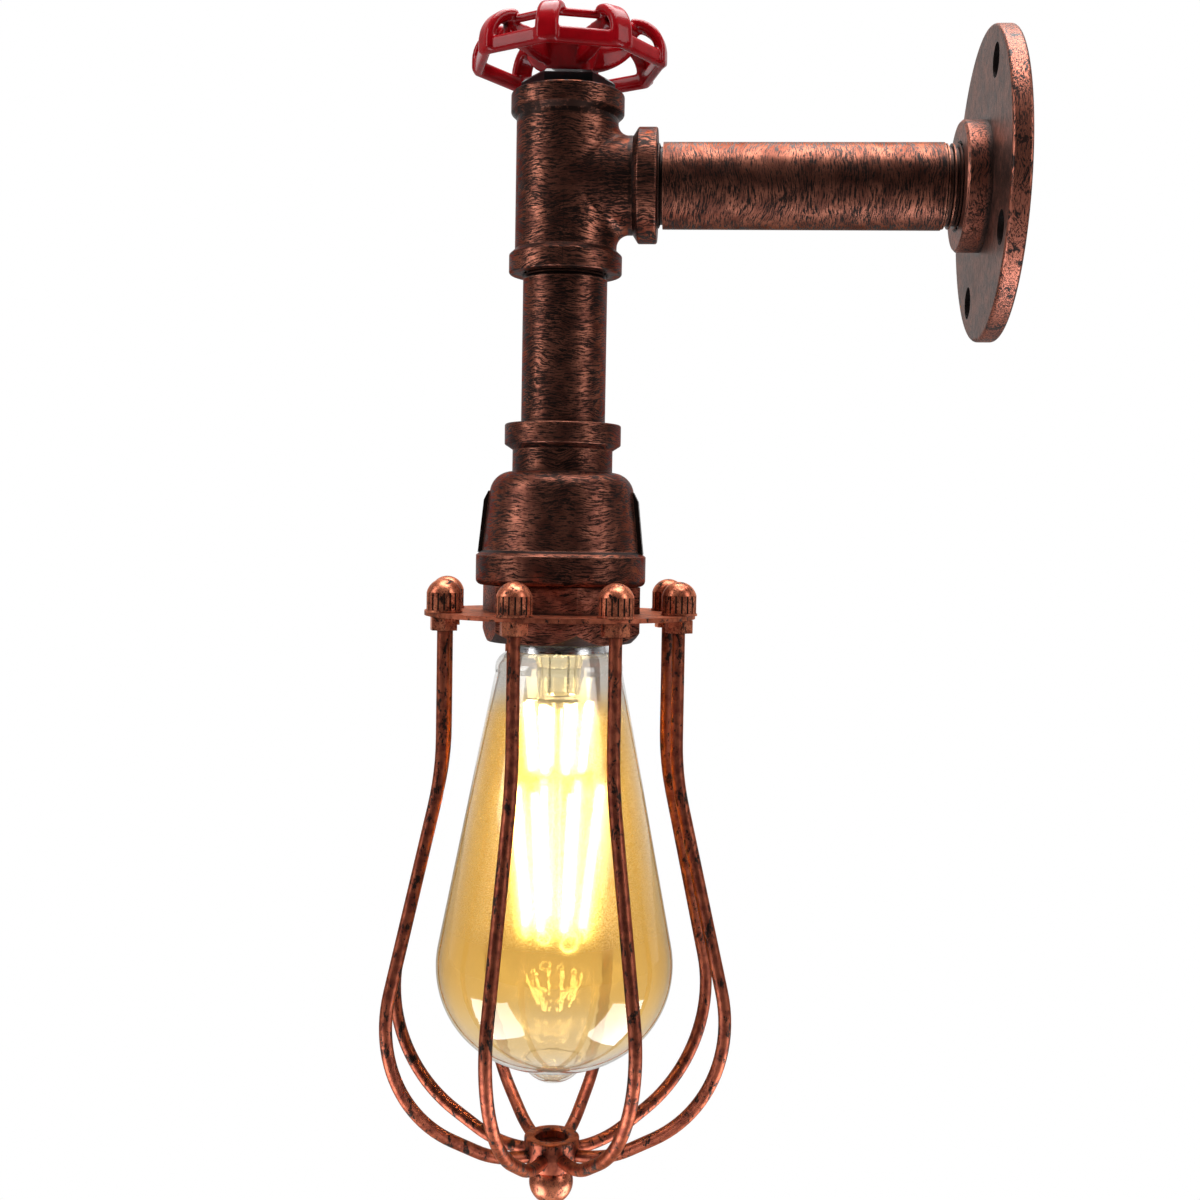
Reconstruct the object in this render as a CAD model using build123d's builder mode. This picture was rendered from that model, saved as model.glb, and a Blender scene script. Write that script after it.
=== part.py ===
"""Industrial pipe wall light: threaded pipework, a wire cage and a filament bulb.

Millimetres. The origin is the centre of the wall flange's back face, +X points into the
wall, the arm runs along X and the lamp hangs on a vertical axis at X = -reach.
Heights are measured from the axis of the arm, +Z up.
"""
from build123d import *
from math import asin, atan2, cos, pi, radians, sin
import os

os.makedirs("parts", exist_ok=True)

# ---------------------------------------------------------------- driving dimensions
reach = 113.5               # lamp axis to the wall
same_radius = 0.01          # radii that differ by less belong to one circle
touch = 0.05                # clearance of a seated round fit
running = 0.05              # radial clearance of a turning fit
apart = 0.3                 # gap between two pieces that move past each other
view_turn = 5.0             # turn of the lamp's flats about Z, from -Y towards +X

# pipe and its thread
pipe_r = 11.2
pipe_bore_r = 9.0
thread_pitch = 1.5
thread_depth = 0.9
thread_relief = 0.3         # crest of the thread below the pipe's skin
thread_grip = 10.2          # length of thread inside a fitting
thread_shown = 1.45         # thread left outside a fitting
thread_shown_flange = 4.0   # thread left outside the flange
thread_shown_bell = 0.2     # thread left outside the bell
thread_ridge = (0.22, 0.42, 0.62)  # a ridge's rise, crest end and foot, as shares of the pitch
passage_gap = 0.2           # bores of the fittings are wider than the pipe's by this radius
hex_sides = 6

# wall flange
flange_r = 40.0
flange_t = 5.1
hub_r = 16.8
hub_length = 6.2
flange_edge = 1.0
screw_circle_r = 32.0
screw_hole_r = 4.3
screw_count = 4
screw_phase = 30.0

# tee
tee_half = 23.6
tee_branch = 24.1
tee_body_r = 13.5
tee_branch_r = 12.8
tee_band_r = 15.0
tee_band_h = 5.0
tee_slope = 1.4
tee_fillet = 3.4
tee_fillet_room = 0.9        # largest share of the wall beside it that the fillet may take
band_edge = 0.6
mouth_chamfer = 0.7

# bonnet plug, spindle and handwheel
plug_flats = 21.5
plug_h = 4.0
plug_edge = 0.9
plug_turn = view_turn
plug_thread_length = 7.2
spindle_r = 3.0
spindle_square = 4.4
clip_t = 0.8
clip_r = 4.8
clip_groove = 0.6
square_short = 2.0          # square of the spindle ends this far below the wheel's top
drill_point = 1.0           # screw hole in the spindle is deeper than the screw by this
washer_r = 6.0
washer_t = 0.8
wheel_turn = -8.0
wheel_lobes = 8
wheel_spokes = 4
wheel_r = 25.9
wheel_lift = 1.55           # lower face of the rim above the hub's lower end
wheel_rail_t = 2.2
wheel_rail_h = 3.8
top_rail_r = 19.2
top_rail_t = 2.2
top_rail_h = 1.6
top_rail_drop = 1.6         # upper rail below the top of the lobes
rail_round = 0.7
lobe_rise = 12.0            # top of the lobes above the wheel's lower face
lobe_w = 5.6
lobe_t = 2.4
lobe_round = 1.1
lobe_arc = 7.4
lobe_in = 17.0              # inner end of a lobe, from the lamp axis
wheel_hub_low_r = 5.4
wheel_hub_high_r = 8.4
wheel_hub_h = 9.15
spoke_t = 3.0
spoke_rise = 2.4            # foot of a spoke above the hub's lower end
spoke_mid_r = 14.2          # middle of a spoke's lower edge
spoke_mid_rise = 5.15       # and its height above the hub's lower end
spoke_depth = 2.9           # depth of a spoke at the upper rail
spoke_seat = 1.0            # spokes start this far outside the screw head
wheel_screw_r = 2.0
wheel_screw_head_r = 3.9
wheel_screw_head_h = 2.2
wheel_screw_length = 8.5
wheel_slot_w = 0.9

# down pipe and bell
bell_top = -63.1
bell_small_band_r = 15.5
bell_small_band_h = 5.5
bell_neck_r = 13.35
bell_shoulder_z = -75.8
bell_shoulder_r = 5.9
bell_low_r = 21.0
bell_band_h = 7.9
bell_band_r = 22.7
bell_bottom = -106.0
bell_band_edge = 1.6
bell_slope = 1.4
bell_step_z = -84.6
bell_socket_r = 17.6
bell_room_r = 15.0
bell_cone_short = 1.2       # inner cone starts this far below the shoulder's top
bell_cone_rise = 2.6        # and ends this far above the step
lug_out = 1.0
lug_w = 7.0
lug_h = 16.4
lug_lift = 0.7              # lower end of a lug above the wide band
lug_slope_h = 2.4
lug_slope_w = 1.2
lug_root = 1.0              # lugs reach this far into the wall

# holder bushing, cage ring and clamp nut
hex_flats = 38.5
hex_turn = 16.4
hex_h = 7.0
bushing_rise = 14.0
bushing_bore_r = 15.4
spigot_r = 16.8
ring_rim = 3.1              # ring outside the circle of the wires
ring_t = 1.2
nut_h = 6.8
nut_chamfer = 2.9
spigot_short = 0.5          # spigot ends this far above the clamp nut's lower face

# cage
wire_count = 8
wire_r = 1.7
wire_phase = -15.0
cage_top_r = 33.1
cage_bend_z = -154.8
cage_belly_corner = (53.2, -238.6)
cage_low_corner_r = 15.6
cage_bend_arc = 75.0
cage_belly_arc = 38.0
cage_low_arc = 28.0
cap_nut_r = 4.5
cap_nut_wall_h = 5.2
cap_nut_h = 8.8
cap_nut_lip_r = 4.75
cap_nut_lip_h = 0.6
flute_count = 18
flute_r = 0.32
wire_in_cap = 6.0
ring_nut_flats = 6.5
ring_nut_h = 3.4
cage_hub_top = -255.8
cage_hub_r = 7.5
cage_hub_low_r = 6.6
cage_hub_h = 8.4
cage_hub_bore_r = 4.5
cage_hub_bore_depth = 2.6
cage_hub_edge = 0.5
wire_end_z = -260.4
wire_end_r = 4.75
ball_r = 6.0
ball_flat_r = 4.3           # flat face of the ball against the hub
ball_stud_r = 2.4
ball_stud_h = 3.0

# lampholder
skirt_r = 15.3
skirt_bore_r = 14.25
skirt_end = -120.4
holder_floor = -96.2
shell_out_r = 14.15
shell_bore_r = 13.25
shell_wall = 0.4
shell_wave = 0.45
shell_end = -119.8
shell_plain = 2.0           # plain stretch of the shell above its thread
wave_shares = (0.15, 0.4, 0.6, 0.85)  # foot, crest, crest and foot of a wave, as shares of a turn
contact_gap = 0.15          # centre contact above the bulb's button, with the bulb screwed home
cap_pitch = 3.629           # rise of the lamp thread in one turn
terminal_in = 3.2           # inner end of a terminal, from the lamp axis
terminal_l = 6.8
terminal_w = 5.4
terminal_h = 4.0
terminal_post_r = 1.6
terminal_screw_at = 8.0
live_post_at = 7.4
neutral_post_at = 11.8
terminal_screw_r = 1.4
terminal_screw_head_r = 2.3
terminal_screw_head_h = 1.3
strip_t = 0.5
strip_w = 5.0
core_r = 1.1
core_spread = 4.4
core_outer_bend = 12.0
core_inner_bend = 8.0
core_short = 0.6            # cores end this far inside the wall plane

# bulb
collar_z = -123.6
collar_r = 13.2
collar_h = 2.4
collar_taper = 0.3
collar_step = 0.6
cap_crest_r = 13.05
cap_root_r = 12.25
cap_wall = 0.35
cap_top = -101.4
cap_slope_h = 1.4
insulator_low_r = 10.5
insulator_top_r = 5.2
insulator_h = 3.0
button_r = 4.6
button_top_r = 3.2
button_h = 0.8
glass_wall = 0.9
glass_seat = 0.1            # glass inside the rim of the collar
glass_shoulder = (16.1, -125.3)
glass_neck = (17.1, -129.2)
glass_slope = 11.2          # degrees from vertical
belly_arc = 27.3
belly_r = 4.7               # centre of the belly arc, from the lamp axis
belly_z = -208.5
pip_r = 8.4
pip_drop = 5.3
stem_r = 5.8
stem_wall = 0.8
stem_end = -137.0
stem_drop = 2.0             # top of the stem below the collar's lower rim
flare_h = 1.2
flare_w = 1.6
flare_throat_h = 2.4
pinch_out_h = 2.2           # pinch between stem and rod, outside
pinch_in = (1.0, 1.8)       # hollow of the stem ends between these heights above its end
rod_r = 1.5
rod_end = -201.0
stick_r = 0.95
stick_count = 8
upper_tier = ((8.9, -137.5), (7.2, -155.5))
lower_tier = ((12.6, -160.5), (8.3, -197.5))
lead_r = 0.35
lead_spread = 2.5
hoop_arms = 4
hoop_arm_r = 0.32
lead_in_stem = 1.5          # leads end this far above the stem's end
board_r = 11.6
board_t = 1.2
board_z = -112.0
capacitor_r = 3.2
capacitor_h = 7.0
chip_size = (4.2, 5.4, 1.6)

# ---------------------------------------------------------------- planes and helpers
lamp_axis = Axis((-reach, 0, 0), (0, 0, 1))
lamp_side = Plane(origin=(-reach, 0, 0), x_dir=(1, 0, 0), z_dir=(0, -1, 0))
arm_axis = Axis((0, 0, 0), (1, 0, 0))


def level(z):
    """Horizontal plane at height z, centred on the lamp axis."""
    return Plane(origin=(-reach, 0, z))


def around(angle):
    """Vertical plane through the lamp axis, angle from -Y towards +X; local x points outwards."""
    a = radians(angle)
    return Plane(origin=(-reach, 0, 0), x_dir=(sin(a), -cos(a), 0), z_dir=(-cos(a), -sin(a), 0))


def facing(angle, distance):
    """Upright plane at a distance from the lamp axis, facing outwards at an angle from -Y to +X."""
    a = radians(angle)
    centre = (-reach + distance * sin(a), -distance * cos(a), 0)
    return Plane(origin=centre, x_dir=(cos(a), sin(a), 0), z_dir=(sin(a), -cos(a), 0))


def compass(angle):
    """Turn in a horizontal sketch that puts its x axis at angle from -Y towards +X."""
    return angle - 90


def circles(piece, radius):
    """Circular edges of one radius."""
    return piece.edges().filter_by(GeomType.CIRCLE).filter_by(lambda rim: abs(rim.radius - radius) < same_radius)


def write(piece, name):
    """Label one finished piece and write its file."""
    piece.part.label = name
    export_step(piece.part, f"parts/{name}.step")


def turned(points, axis=lamp_axis, plane=lamp_side):
    """A piece turned from one closed outline of (radius, height) points."""
    with BuildPart() as piece:
        with BuildSketch(plane):
            with BuildLine():
                Polyline(*points, close=True)
            make_face()
        revolve(axis=axis)
    return piece


def thread_outline(start, end, crest_r):
    """Ridges of a thread from start to end along an axis, as (position, radius) points."""
    count = int(abs(end - start) / thread_pitch)
    step = (end - start) / count
    root_r = crest_r - thread_depth
    points = []
    for turn in range(count):
        at = start + turn * step
        points += [
            (at, root_r),
            (at + thread_ridge[0] * step, crest_r),
            (at + thread_ridge[1] * step, crest_r),
            (at + thread_ridge[2] * step, root_r),
        ]
    points.append((end, root_r))
    return points


def threaded_pipe(first, last, shown_first, shown_last):
    """Outline of a pipe from first to last with both ends threaded, as (position, radius)."""
    sign = 1 if last > first else -1
    crest_r = pipe_r - thread_relief
    smooth_first = first + sign * (thread_grip + shown_first)
    smooth_last = last - sign * (thread_grip + shown_last)
    outline = [(first, pipe_bore_r)]
    outline += thread_outline(first, smooth_first, crest_r)
    outline += [(smooth_first, pipe_r), (smooth_last, pipe_r)]
    outline += thread_outline(smooth_last, last, crest_r)
    outline.append((last, pipe_bore_r))
    return outline


# ---------------------------------------------------------------- wall flange and arm
socket_r = pipe_r - thread_relief + touch
passage_r = pipe_bore_r + passage_gap
flange_front = -flange_t
hub_front = flange_front - hub_length

with BuildPart() as wall_flange:
    with BuildSketch(Plane.YZ):
        Circle(flange_r)
    extrude(amount=-flange_t)
    flange_rim = wall_flange.edges().filter_by(GeomType.CIRCLE)
    fillet(flange_rim, radius=flange_edge)
    with BuildSketch(Plane.YZ.offset(flange_front)):
        Circle(hub_r)
    extrude(amount=-hub_length)
    hub_rim = wall_flange.edges().filter_by(GeomType.CIRCLE).group_by(Axis.X)[0]
    chamfer(hub_rim, length=band_edge)
    with BuildSketch(Plane.YZ.offset(hub_front)):
        Circle(passage_r)
    extrude(amount=flange_t + hub_length, mode=Mode.SUBTRACT)
    with BuildSketch(Plane.YZ.offset(hub_front)):
        Circle(socket_r)
    extrude(amount=thread_grip + touch, mode=Mode.SUBTRACT)
    mouth = wall_flange.edges().filter_by(GeomType.CIRCLE).group_by(Axis.X)[0].sort_by(SortBy.RADIUS)[0]
    chamfer(mouth, length=mouth_chamfer)
    with BuildSketch(Plane.YZ):
        for hole in range(screw_count):
            hole_angle = radians(screw_phase + hole * 360 / screw_count)
            with Locations((-screw_circle_r * sin(hole_angle), screw_circle_r * cos(hole_angle))):
                Circle(screw_hole_r)
    extrude(amount=-flange_t, mode=Mode.SUBTRACT)
write(wall_flange, "wall_flange")

branch_face = -reach + tee_branch
arm_start = branch_face - thread_grip
arm_end = hub_front + thread_grip
arm_outline = threaded_pipe(arm_start, arm_end, thread_shown, thread_shown_flange)
arm_pipe = turned(arm_outline, axis=arm_axis, plane=Plane.XZ)
write(arm_pipe, "arm_pipe")

# ---------------------------------------------------------------- tee
with BuildPart() as tee:
    with BuildSketch(lamp_side):
        with BuildLine():
            Polyline(
                (0, -tee_half),
                (tee_band_r, -tee_half),
                (tee_band_r, -tee_half + tee_band_h),
                (tee_body_r, -tee_half + tee_band_h + tee_slope),
                (tee_body_r, tee_half - tee_band_h - tee_slope),
                (tee_band_r, tee_half - tee_band_h),
                (tee_band_r, tee_half),
                (0, tee_half),
                close=True,
            )
        make_face()
    revolve(axis=lamp_axis)
    with BuildSketch(Plane.XZ):
        with BuildLine():
            Polyline(
                (-reach, 0),
                (branch_face, 0),
                (branch_face, tee_band_r),
                (branch_face - tee_band_h, tee_band_r),
                (branch_face - tee_band_h - tee_slope, tee_branch_r),
                (-reach, tee_branch_r),
                close=True,
            )
        make_face()
    revolve(axis=arm_axis)
    tee_saddle = tee.edges().filter_by(GeomType.CIRCLE, reverse=True).filter_by(GeomType.LINE, reverse=True)
    saddle_room = tee_half - tee_band_h - tee_slope - tee_branch_r
    fillet(tee_saddle, radius=min(tee_fillet, tee_fillet_room * saddle_room))
    fillet(circles(tee, tee_band_r), radius=band_edge)
    with BuildSketch(level(-tee_half)):
        Circle(passage_r)
    extrude(amount=2 * tee_half, mode=Mode.SUBTRACT)
    with BuildSketch(Plane.YZ.offset(-reach)):
        Circle(passage_r)
    extrude(amount=tee_branch, mode=Mode.SUBTRACT)
    for mouth_z, into in ((-tee_half, 1), (tee_half, -1)):
        with BuildSketch(level(mouth_z)):
            Circle(socket_r)
        extrude(amount=into * (thread_grip + touch), mode=Mode.SUBTRACT)
    with BuildSketch(Plane.YZ.offset(branch_face)):
        Circle(socket_r)
    extrude(amount=-(thread_grip + touch), mode=Mode.SUBTRACT)
    mouths = circles(tee, socket_r)
    outer_mouths = [mouths.sort_by(Axis.Z)[0], mouths.sort_by(Axis.Z)[-1], mouths.sort_by(Axis.X)[-1]]
    chamfer(outer_mouths, length=mouth_chamfer)
write(tee, "tee")

# ---------------------------------------------------------------- bonnet plug and spindle
plug_top = tee_half + plug_h
plug_low = tee_half - plug_thread_length
plug_r = socket_r - touch
with BuildPart() as top_plug:
    with BuildSketch(level(tee_half)):
        RegularPolygon(plug_flats / 2, hex_sides, major_radius=False, rotation=compass(plug_turn) + 30)
    extrude(amount=plug_h)
    plug_crown = top_plug.faces().sort_by(Axis.Z)[-1].edges()
    chamfer(plug_crown, length=plug_edge)
    with BuildSketch(level(plug_low)):
        Circle(plug_r)
    extrude(amount=plug_thread_length)
    with BuildSketch(level(plug_low)):
        Circle(spindle_r + running)
    extrude(amount=plug_thread_length + plug_h, mode=Mode.SUBTRACT)
write(top_plug, "top_plug")

washer_top = plug_top + washer_t
with BuildPart() as friction_washer:
    with BuildSketch(level(plug_top)):
        Circle(washer_r)
        Circle(spindle_r + running, mode=Mode.SUBTRACT)
    extrude(amount=washer_t)
write(friction_washer, "friction_washer")

wheel_hub_low = washer_top + touch
wheel_hub_top = wheel_hub_low + wheel_hub_h
wheel_low = wheel_hub_low + wheel_lift
clip_top = plug_low - apart
clip_low = clip_top - clip_t
spindle_low = clip_low - 2 * clip_t
square_top = wheel_hub_top - square_short
screw_hole_low = wheel_hub_top - wheel_screw_length
with BuildPart() as spindle:
    with BuildSketch(level(spindle_low)):
        Circle(spindle_r)
    extrude(amount=wheel_hub_low - spindle_low)
    with BuildSketch(level(wheel_hub_low)):
        Rectangle(spindle_square, spindle_square, rotation=compass(wheel_turn))
    extrude(amount=square_top - wheel_hub_low)
    with BuildSketch(level(clip_low - touch)):
        Circle(spindle_r)
        Circle(spindle_r - clip_groove, mode=Mode.SUBTRACT)
    extrude(amount=clip_t + 2 * touch, mode=Mode.SUBTRACT)
    with BuildSketch(level(screw_hole_low - drill_point)):
        Circle(wheel_screw_r - touch)
    extrude(amount=square_top - screw_hole_low + drill_point, mode=Mode.SUBTRACT)
write(spindle, "spindle")

with BuildPart() as spindle_clip:
    with BuildSketch(level(clip_low)):
        Circle(clip_r)
        Circle(spindle_r - clip_groove + touch, mode=Mode.SUBTRACT)
        with Locations((0, -clip_r / 2)):
            Rectangle(2 * (spindle_r - clip_groove), clip_r, mode=Mode.SUBTRACT)
    extrude(amount=clip_t)
write(spindle_clip, "spindle_clip")

# ---------------------------------------------------------------- handwheel
lobe_step = 360 / wheel_lobes
lobe_top = wheel_low + lobe_rise
top_rail_low = lobe_top - top_rail_drop - top_rail_h
rails = (
    (wheel_low, wheel_rail_h, wheel_r, wheel_rail_t),
    (top_rail_low, top_rail_h, top_rail_r, top_rail_t),
)
with BuildPart() as handwheel:
    for rail_z, rail_h, rail_r, rail_t in rails:
        with BuildSketch(level(rail_z)):
            RegularPolygon(rail_r, wheel_lobes, rotation=compass(wheel_turn))
            RegularPolygon(rail_r - rail_t, wheel_lobes, rotation=compass(wheel_turn), mode=Mode.SUBTRACT)
        extrude(amount=rail_h)
        rail_edges = handwheel.edges(Select.LAST).filter_by(Axis.Z, reverse=True)
        fillet(rail_edges, radius=rail_round)
    for lobe in range(wheel_lobes):
        lobe_side = around(wheel_turn + lobe * lobe_step)
        with BuildLine(lobe_side) as lobe_path:
            FilletPolyline(
                (wheel_r - lobe_t / 2, wheel_low + rail_round),
                (wheel_r - lobe_t / 2, lobe_top - lobe_t / 2),
                (lobe_in, lobe_top - lobe_t / 2),
                radius=lobe_arc,
            )
        with BuildSketch(Plane(lobe_path.line @ 0, x_dir=lobe_side.z_dir, z_dir=lobe_path.line % 0)):
            RectangleRounded(lobe_w, lobe_t, lobe_round)
        sweep(path=lobe_path.line)
    for spoke in range(wheel_spokes):
        with BuildSketch(around(wheel_turn + lobe_step + spoke * 360 / wheel_spokes)):
            with BuildLine():
                Polyline(
                    (0, wheel_hub_top),
                    (0, wheel_hub_low + spoke_rise),
                    (wheel_hub_low_r, wheel_hub_low + spoke_rise),
                )
                ThreePointArc(
                    (wheel_hub_low_r, wheel_hub_low + spoke_rise),
                    (spoke_mid_r, wheel_hub_low + spoke_mid_rise),
                    (top_rail_r, top_rail_low + top_rail_h - spoke_depth),
                )
                Polyline(
                    (top_rail_r, top_rail_low + top_rail_h - spoke_depth),
                    (top_rail_r, top_rail_low + top_rail_h / 2),
                    (wheel_screw_head_r + spoke_seat, wheel_hub_top),
                    (0, wheel_hub_top),
                )
            make_face()
        extrude(amount=spoke_t / 2, both=True)
    with BuildSketch(lamp_side):
        with BuildLine():
            Polyline(
                (0, wheel_hub_low),
                (wheel_hub_low_r, wheel_hub_low),
                (wheel_hub_high_r, wheel_hub_top),
                (0, wheel_hub_top),
                close=True,
            )
        make_face()
    revolve(axis=lamp_axis)
    with BuildSketch(level(wheel_hub_low)):
        Rectangle(
            spindle_square + 2 * touch,
            spindle_square + 2 * touch,
            rotation=compass(wheel_turn),
        )
    extrude(amount=square_top + touch - wheel_hub_low, mode=Mode.SUBTRACT)
    with BuildSketch(level(wheel_hub_low)):
        Circle(wheel_screw_r + touch)
    extrude(amount=wheel_hub_top - wheel_hub_low, mode=Mode.SUBTRACT)
write(handwheel, "handwheel")

with BuildPart() as wheel_screw:
    with BuildSketch(level(screw_hole_low)):
        Circle(wheel_screw_r - 2 * touch)
    extrude(amount=wheel_screw_length)
    with BuildSketch(level(wheel_hub_top)):
        Circle(wheel_screw_head_r)
    extrude(amount=wheel_screw_head_h)
    screw_crown = wheel_screw.faces().sort_by(Axis.Z)[-1].edges()
    fillet(screw_crown, radius=wheel_screw_head_h / 3)
    with BuildSketch(level(wheel_hub_top + wheel_screw_head_h)):
        Rectangle(wheel_slot_w, 2 * wheel_screw_head_r)
    extrude(amount=-wheel_screw_head_h / 2, mode=Mode.SUBTRACT)
write(wheel_screw, "wheel_screw")

# ---------------------------------------------------------------- down pipe and bell
down_start = -tee_half + thread_grip
down_end = bell_top - thread_grip
down_outline = threaded_pipe(down_start, down_end, thread_shown, thread_shown_bell)
down_pipe = turned([(radius, height) for height, radius in down_outline])
write(down_pipe, "down_pipe")

bell_shoulder_end = bell_neck_r + bell_shoulder_r
bell_band_top = bell_bottom + bell_band_h
lug_bottom = bell_band_top + lug_lift
lug_top = lug_bottom + lug_h
wall_h = bell_shoulder_z - bell_shoulder_r - bell_band_top - bell_slope
wall_lean = (bell_low_r - bell_shoulder_end) / wall_h
lug_top_r = bell_shoulder_end + lug_out + wall_lean * lug_slope_h
with BuildPart() as bell:
    with BuildSketch(lamp_side):
        with BuildLine():
            Polyline(
                (0, bell_top),
                (bell_small_band_r, bell_top),
                (bell_small_band_r, bell_top - bell_small_band_h),
                (bell_neck_r, bell_top - bell_small_band_h - bell_slope),
                (bell_neck_r, bell_shoulder_z),
            )
            ThreePointArc(
                (bell_neck_r, bell_shoulder_z),
                (
                    bell_neck_r + bell_shoulder_r * sin(pi / 4),
                    bell_shoulder_z - bell_shoulder_r * (1 - cos(pi / 4)),
                ),
                (bell_shoulder_end, bell_shoulder_z - bell_shoulder_r),
            )
            Polyline(
                (bell_shoulder_end, bell_shoulder_z - bell_shoulder_r),
                (bell_low_r, bell_band_top + bell_slope),
                (bell_band_r, bell_band_top),
                (bell_band_r, bell_bottom),
                (0, bell_bottom),
                (0, bell_top),
            )
        make_face()
    revolve(axis=lamp_axis)
    fillet(circles(bell, bell_small_band_r), radius=band_edge)
    bell_foot = bell.edges().filter_by(GeomType.CIRCLE).group_by(Axis.Z)[0]
    fillet(bell_foot, radius=bell_band_edge)
    for lug_side in (1, -1):
        with BuildSketch(lamp_side):
            with BuildLine():
                Polyline(
                    (lug_side * (bell_shoulder_end - lug_root), lug_top),
                    (lug_side * (lug_top_r - lug_slope_w), lug_top),
                    (lug_side * lug_top_r, lug_top - lug_slope_h),
                    (lug_side * (bell_low_r + lug_out), lug_bottom),
                    (lug_side * (bell_shoulder_end - lug_root), lug_bottom),
                    close=True,
                )
            make_face()
        extrude(amount=lug_w / 2, both=True)
    with BuildSketch(lamp_side):
        with BuildLine():
            Polyline(
                (0, bell_top),
                (socket_r + mouth_chamfer, bell_top),
                (socket_r, bell_top - mouth_chamfer),
                (socket_r, down_end - touch),
                (passage_r, down_end - touch),
                (passage_r, bell_shoulder_z - bell_cone_short),
                (bell_room_r, bell_step_z + bell_cone_rise),
                (bell_room_r, bell_step_z),
                (bell_socket_r, bell_step_z),
                (bell_socket_r, bell_bottom),
                (0, bell_bottom),
                close=True,
            )
        make_face()
    revolve(axis=lamp_axis, mode=Mode.SUBTRACT)
write(bell, "bell")

# ---------------------------------------------------------------- bushing, ring, clamp nut
hex_bottom = bell_bottom - hex_h
ring_bottom = hex_bottom - ring_t
nut_bottom = ring_bottom - nut_h
spigot_end = nut_bottom + spigot_short
bushing_top = bell_bottom + bushing_rise
with BuildPart() as holder_bushing:
    with BuildSketch(level(bell_bottom)):
        RegularPolygon(hex_flats / 2, hex_sides, major_radius=False, rotation=compass(hex_turn))
    extrude(amount=-hex_h)
    with BuildSketch(level(bell_bottom)):
        Circle(bell_socket_r - touch)
    extrude(amount=bushing_rise)
    with BuildSketch(level(hex_bottom)):
        Circle(spigot_r)
    extrude(amount=spigot_end - hex_bottom)
    with BuildSketch(level(bushing_top)):
        Circle(bushing_bore_r)
    extrude(amount=spigot_end - bushing_top, mode=Mode.SUBTRACT)
write(holder_bushing, "holder_bushing")

ring_r = cage_top_r + ring_rim
wire_angles = [wire_phase + wire * 360 / wire_count for wire in range(wire_count)]
cage_spots = [(cage_top_r * sin(radians(a)), -cage_top_r * cos(radians(a))) for a in wire_angles]
with BuildPart() as cage_ring:
    with BuildSketch(level(ring_bottom)):
        Circle(ring_r)
        Circle(spigot_r + touch, mode=Mode.SUBTRACT)
        with Locations(*cage_spots):
            Circle(wire_r + touch, mode=Mode.SUBTRACT)
    extrude(amount=ring_t)
write(cage_ring, "cage_ring")

hex_corner_r = hex_flats / 2 / cos(pi / hex_sides)
with BuildPart() as clamp_nut:
    with BuildSketch(level(ring_bottom)):
        RegularPolygon(hex_flats / 2, hex_sides, major_radius=False, rotation=compass(hex_turn))
    extrude(amount=-nut_h)
    with BuildSketch(lamp_side):
        with BuildLine():
            Polyline(
                (0, ring_bottom),
                (hex_corner_r, ring_bottom),
                (hex_corner_r, nut_bottom + nut_chamfer),
                (hex_corner_r - nut_chamfer, nut_bottom),
                (0, nut_bottom),
                close=True,
            )
        make_face()
    revolve(axis=lamp_axis, mode=Mode.INTERSECT)
    with BuildSketch(level(ring_bottom)):
        Circle(spigot_r + touch)
    extrude(amount=-nut_h, mode=Mode.SUBTRACT)
write(clamp_nut, "clamp_nut")

# ---------------------------------------------------------------- cage wires and their nuts
wire_top = hex_bottom + wire_in_cap


def cage_wire(angle):
    """One bent rod of the cage, from its cap nut down to the hub."""
    with BuildPart() as wire:
        with BuildLine(around(angle)) as route:
            FilletPolyline(
                (cage_top_r, wire_top),
                (cage_top_r, cage_bend_z),
                cage_belly_corner,
                (cage_low_corner_r, wire_end_z),
                (wire_end_r, wire_end_z),
                radius=[cage_bend_arc, cage_belly_arc, cage_low_arc],
            )
        with BuildSketch(Plane(origin=route.line @ 0, z_dir=route.line % 0)):
            Circle(wire_r)
        sweep()
    return wire


for wire_number, wire_angle in enumerate(wire_angles, start=1):
    write(cage_wire(wire_angle), f"cage_wire_{wire_number}")

dome_h = cap_nut_h - cap_nut_wall_h
dome_arc = (cap_nut_r**2 + dome_h**2) / (2 * dome_h)
with BuildPart() as cap_nuts:
    for spot_x, spot_y in cage_spots:
        nut_at = Plane(origin=(-reach + spot_x, spot_y, hex_bottom), x_dir=(1, 0, 0), z_dir=(0, -1, 0))
        with BuildSketch(nut_at):
            with BuildLine():
                Polyline(
                    (0, cap_nut_h),
                    (0, 0),
                    (cap_nut_lip_r, 0),
                    (cap_nut_lip_r, cap_nut_lip_h),
                    (cap_nut_r, cap_nut_lip_h),
                    (cap_nut_r, cap_nut_wall_h),
                )
                RadiusArc((cap_nut_r, cap_nut_wall_h), (0, cap_nut_h), -dome_arc)
            make_face()
        revolve(axis=Axis((-reach + spot_x, spot_y, 0), (0, 0, 1)))
        with BuildSketch(Plane(origin=(-reach + spot_x, spot_y, hex_bottom + cap_nut_lip_h))):
            with PolarLocations(cap_nut_r + flute_r / 2, flute_count):
                Circle(flute_r)
        extrude(amount=cap_nut_wall_h - cap_nut_lip_h, mode=Mode.SUBTRACT)
        with BuildSketch(Plane(origin=(-reach + spot_x, spot_y, hex_bottom))):
            Circle(wire_r + touch)
        extrude(amount=wire_in_cap + touch, mode=Mode.SUBTRACT)
write(cap_nuts, "cap_nuts")

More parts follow.
